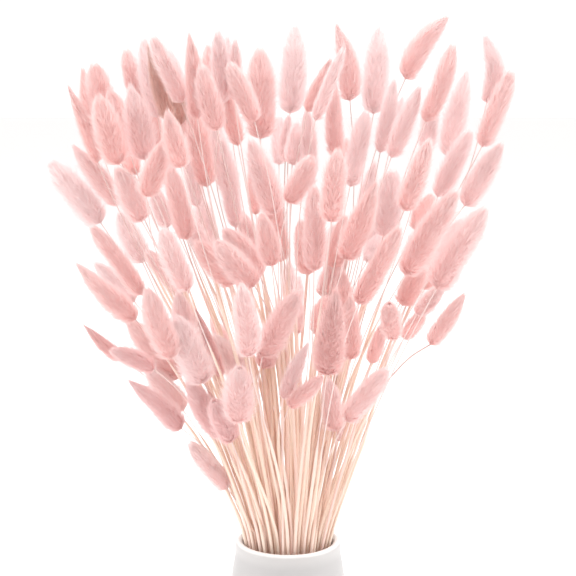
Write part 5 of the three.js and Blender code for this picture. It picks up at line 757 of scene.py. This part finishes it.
# ------------------------------------------------------------------ vase
def lathe(name, profile, sides):
    """A closed ring of (radius, height) points turned round the Z axis; its first and last points are on the axis."""
    r, z = np.array(profile).T
    n = len(r) - 2
    a = np.arange(sides) * TAU / sides
    ring = np.stack([
        r[1:-1, None] * np.cos(a), r[1:-1, None] * np.sin(a), np.repeat(z[1:-1, None], sides, 1)
    ], -1).reshape(-1, 3)
    verts = np.vstack([ring, [[0, 0, z[0]], [0, 0, z[-1]]]])
    i, j = np.meshgrid(np.arange(n - 1), np.arange(sides), indexing="ij")
    i, j = i.ravel(), j.ravel()
    q = (j + 1) % sides
    A, B, C, D = i * sides + j, i * sides + q, (i + 1) * sides + q, (i + 1) * sides + j
    faces = np.concatenate([np.stack([A, B, C], 1), np.stack([A, C, D], 1)])
    j = np.arange(sides)
    q = (j + 1) % sides
    faces = np.concatenate([
        faces,
        np.stack([np.full(sides, n * sides), q, j], 1),
        np.stack([np.full(sides, n * sides + 1), (n - 1) * sides + j, (n - 1) * sides + q], 1),
    ])
    return make_mesh(name, verts * MM, faces, smooth=True)


def eased(points, per):
    """Catmull-Rom through profile points, by their spacing."""
    pts = np.array(points, float)
    line, _ = smooth_line(np.hstack([pts, np.zeros((len(pts), 1))]), per)
    return [tuple(p[:2]) for p in line]


outer = eased([(37.4, 0.6), (39.3, 4.0), (42.3, 20), (44.5, 46), (43.4, 74), (39.9, 100.3), (38.0, 112.3), (37.8, 118.7), (36.7, 121.5), (35.0, 122.3), (33.3, 121.5), (32.2, 118.7), (32.7, 111.3), (37.6, 74), (38.6, 46), (36.6, 22), (33.4, 11.0)], 5)
profile = [(0, 0.9), (30.0, 0.9), (31.6, 0.5), (32.4, 0.0), (36.2, 0.0), (37.0, 0.2)] + outer + [(32.2, 9.0), (29.5, 8.1), (15, 8.0), (0, 8.0)]
vase = lathe("vase_glazed", profile, 144)
vase.data.materials.append(glaze)
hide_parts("vase")
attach(vase, "root")
faces_made += len(vase.data.polygons)

# ------------------------------------------------------------------ floor and light
floor_mat, tree = new_material("floor")
bsdf = node(tree, "ShaderNodeBsdfPrincipled")
bsdf.inputs["Base Color"].default_value = (0.90, 0.895, 0.89, 1)
bsdf.inputs["Roughness"].default_value = 0.9
bsdf.inputs["Specular IOR Level"].default_value = 0.1
out = node(tree, "ShaderNodeOutputMaterial")
tree.links.new(bsdf.outputs[0], out.inputs["Surface"])
floor = make_mesh("floor", np.array([[-9, -9, 0], [9, -9, 0], [9, 9, 0], [-9, 9, 0]], float), np.array([[0, 1, 2, 3]]))
floor.data.materials.append(floor_mat)

world = bpy.data.worlds.new("studio")
world.use_nodes = True
world.node_tree.nodes["Background"].inputs["Color"].default_value = (1.0, 0.998, 0.995, 1)
world.node_tree.nodes["Background"].inputs["Strength"].default_value = 1.11
bpy.context.scene.world = world


def area_light(name, where, to, size, watts, colour=(1, 1, 1)):
    data = bpy.data.lights.new(name, "AREA")
    data.shape = "DISK"
    data.size = size
    data.energy = watts
    data.color = colour
    ob = bpy.data.objects.new(name, data)
    bpy.context.scene.collection.objects.link(ob)
    ob.location = where
    ob.rotation_euler = (Vector(to) - Vector(where)).to_track_quat("-Z", "Y").to_euler()
    return ob


area_light("top", (0.0, 0.25, 2.2), (0, 0, 0.2), 1.6, 38.0)
area_light("left", (-1.9, -0.3, 0.8), (0, 0, 0.25), 1.2, 8.0)
area_light("right", (1.9, -0.2, 0.8), (0, 0, 0.25), 1.2, 8.0)

scene = bpy.context.scene
# light goes from hair to hair many times before it leaves pale fur
scene.cycles.diffuse_bounces = 10
scene.cycles.max_bounces = 16
scene.view_settings.view_transform = "Standard"
scene.view_settings.look = "None"
scene.view_settings.exposure = 0.0
scene.view_settings.gamma = 1.0

print("faces in all", faces_made)
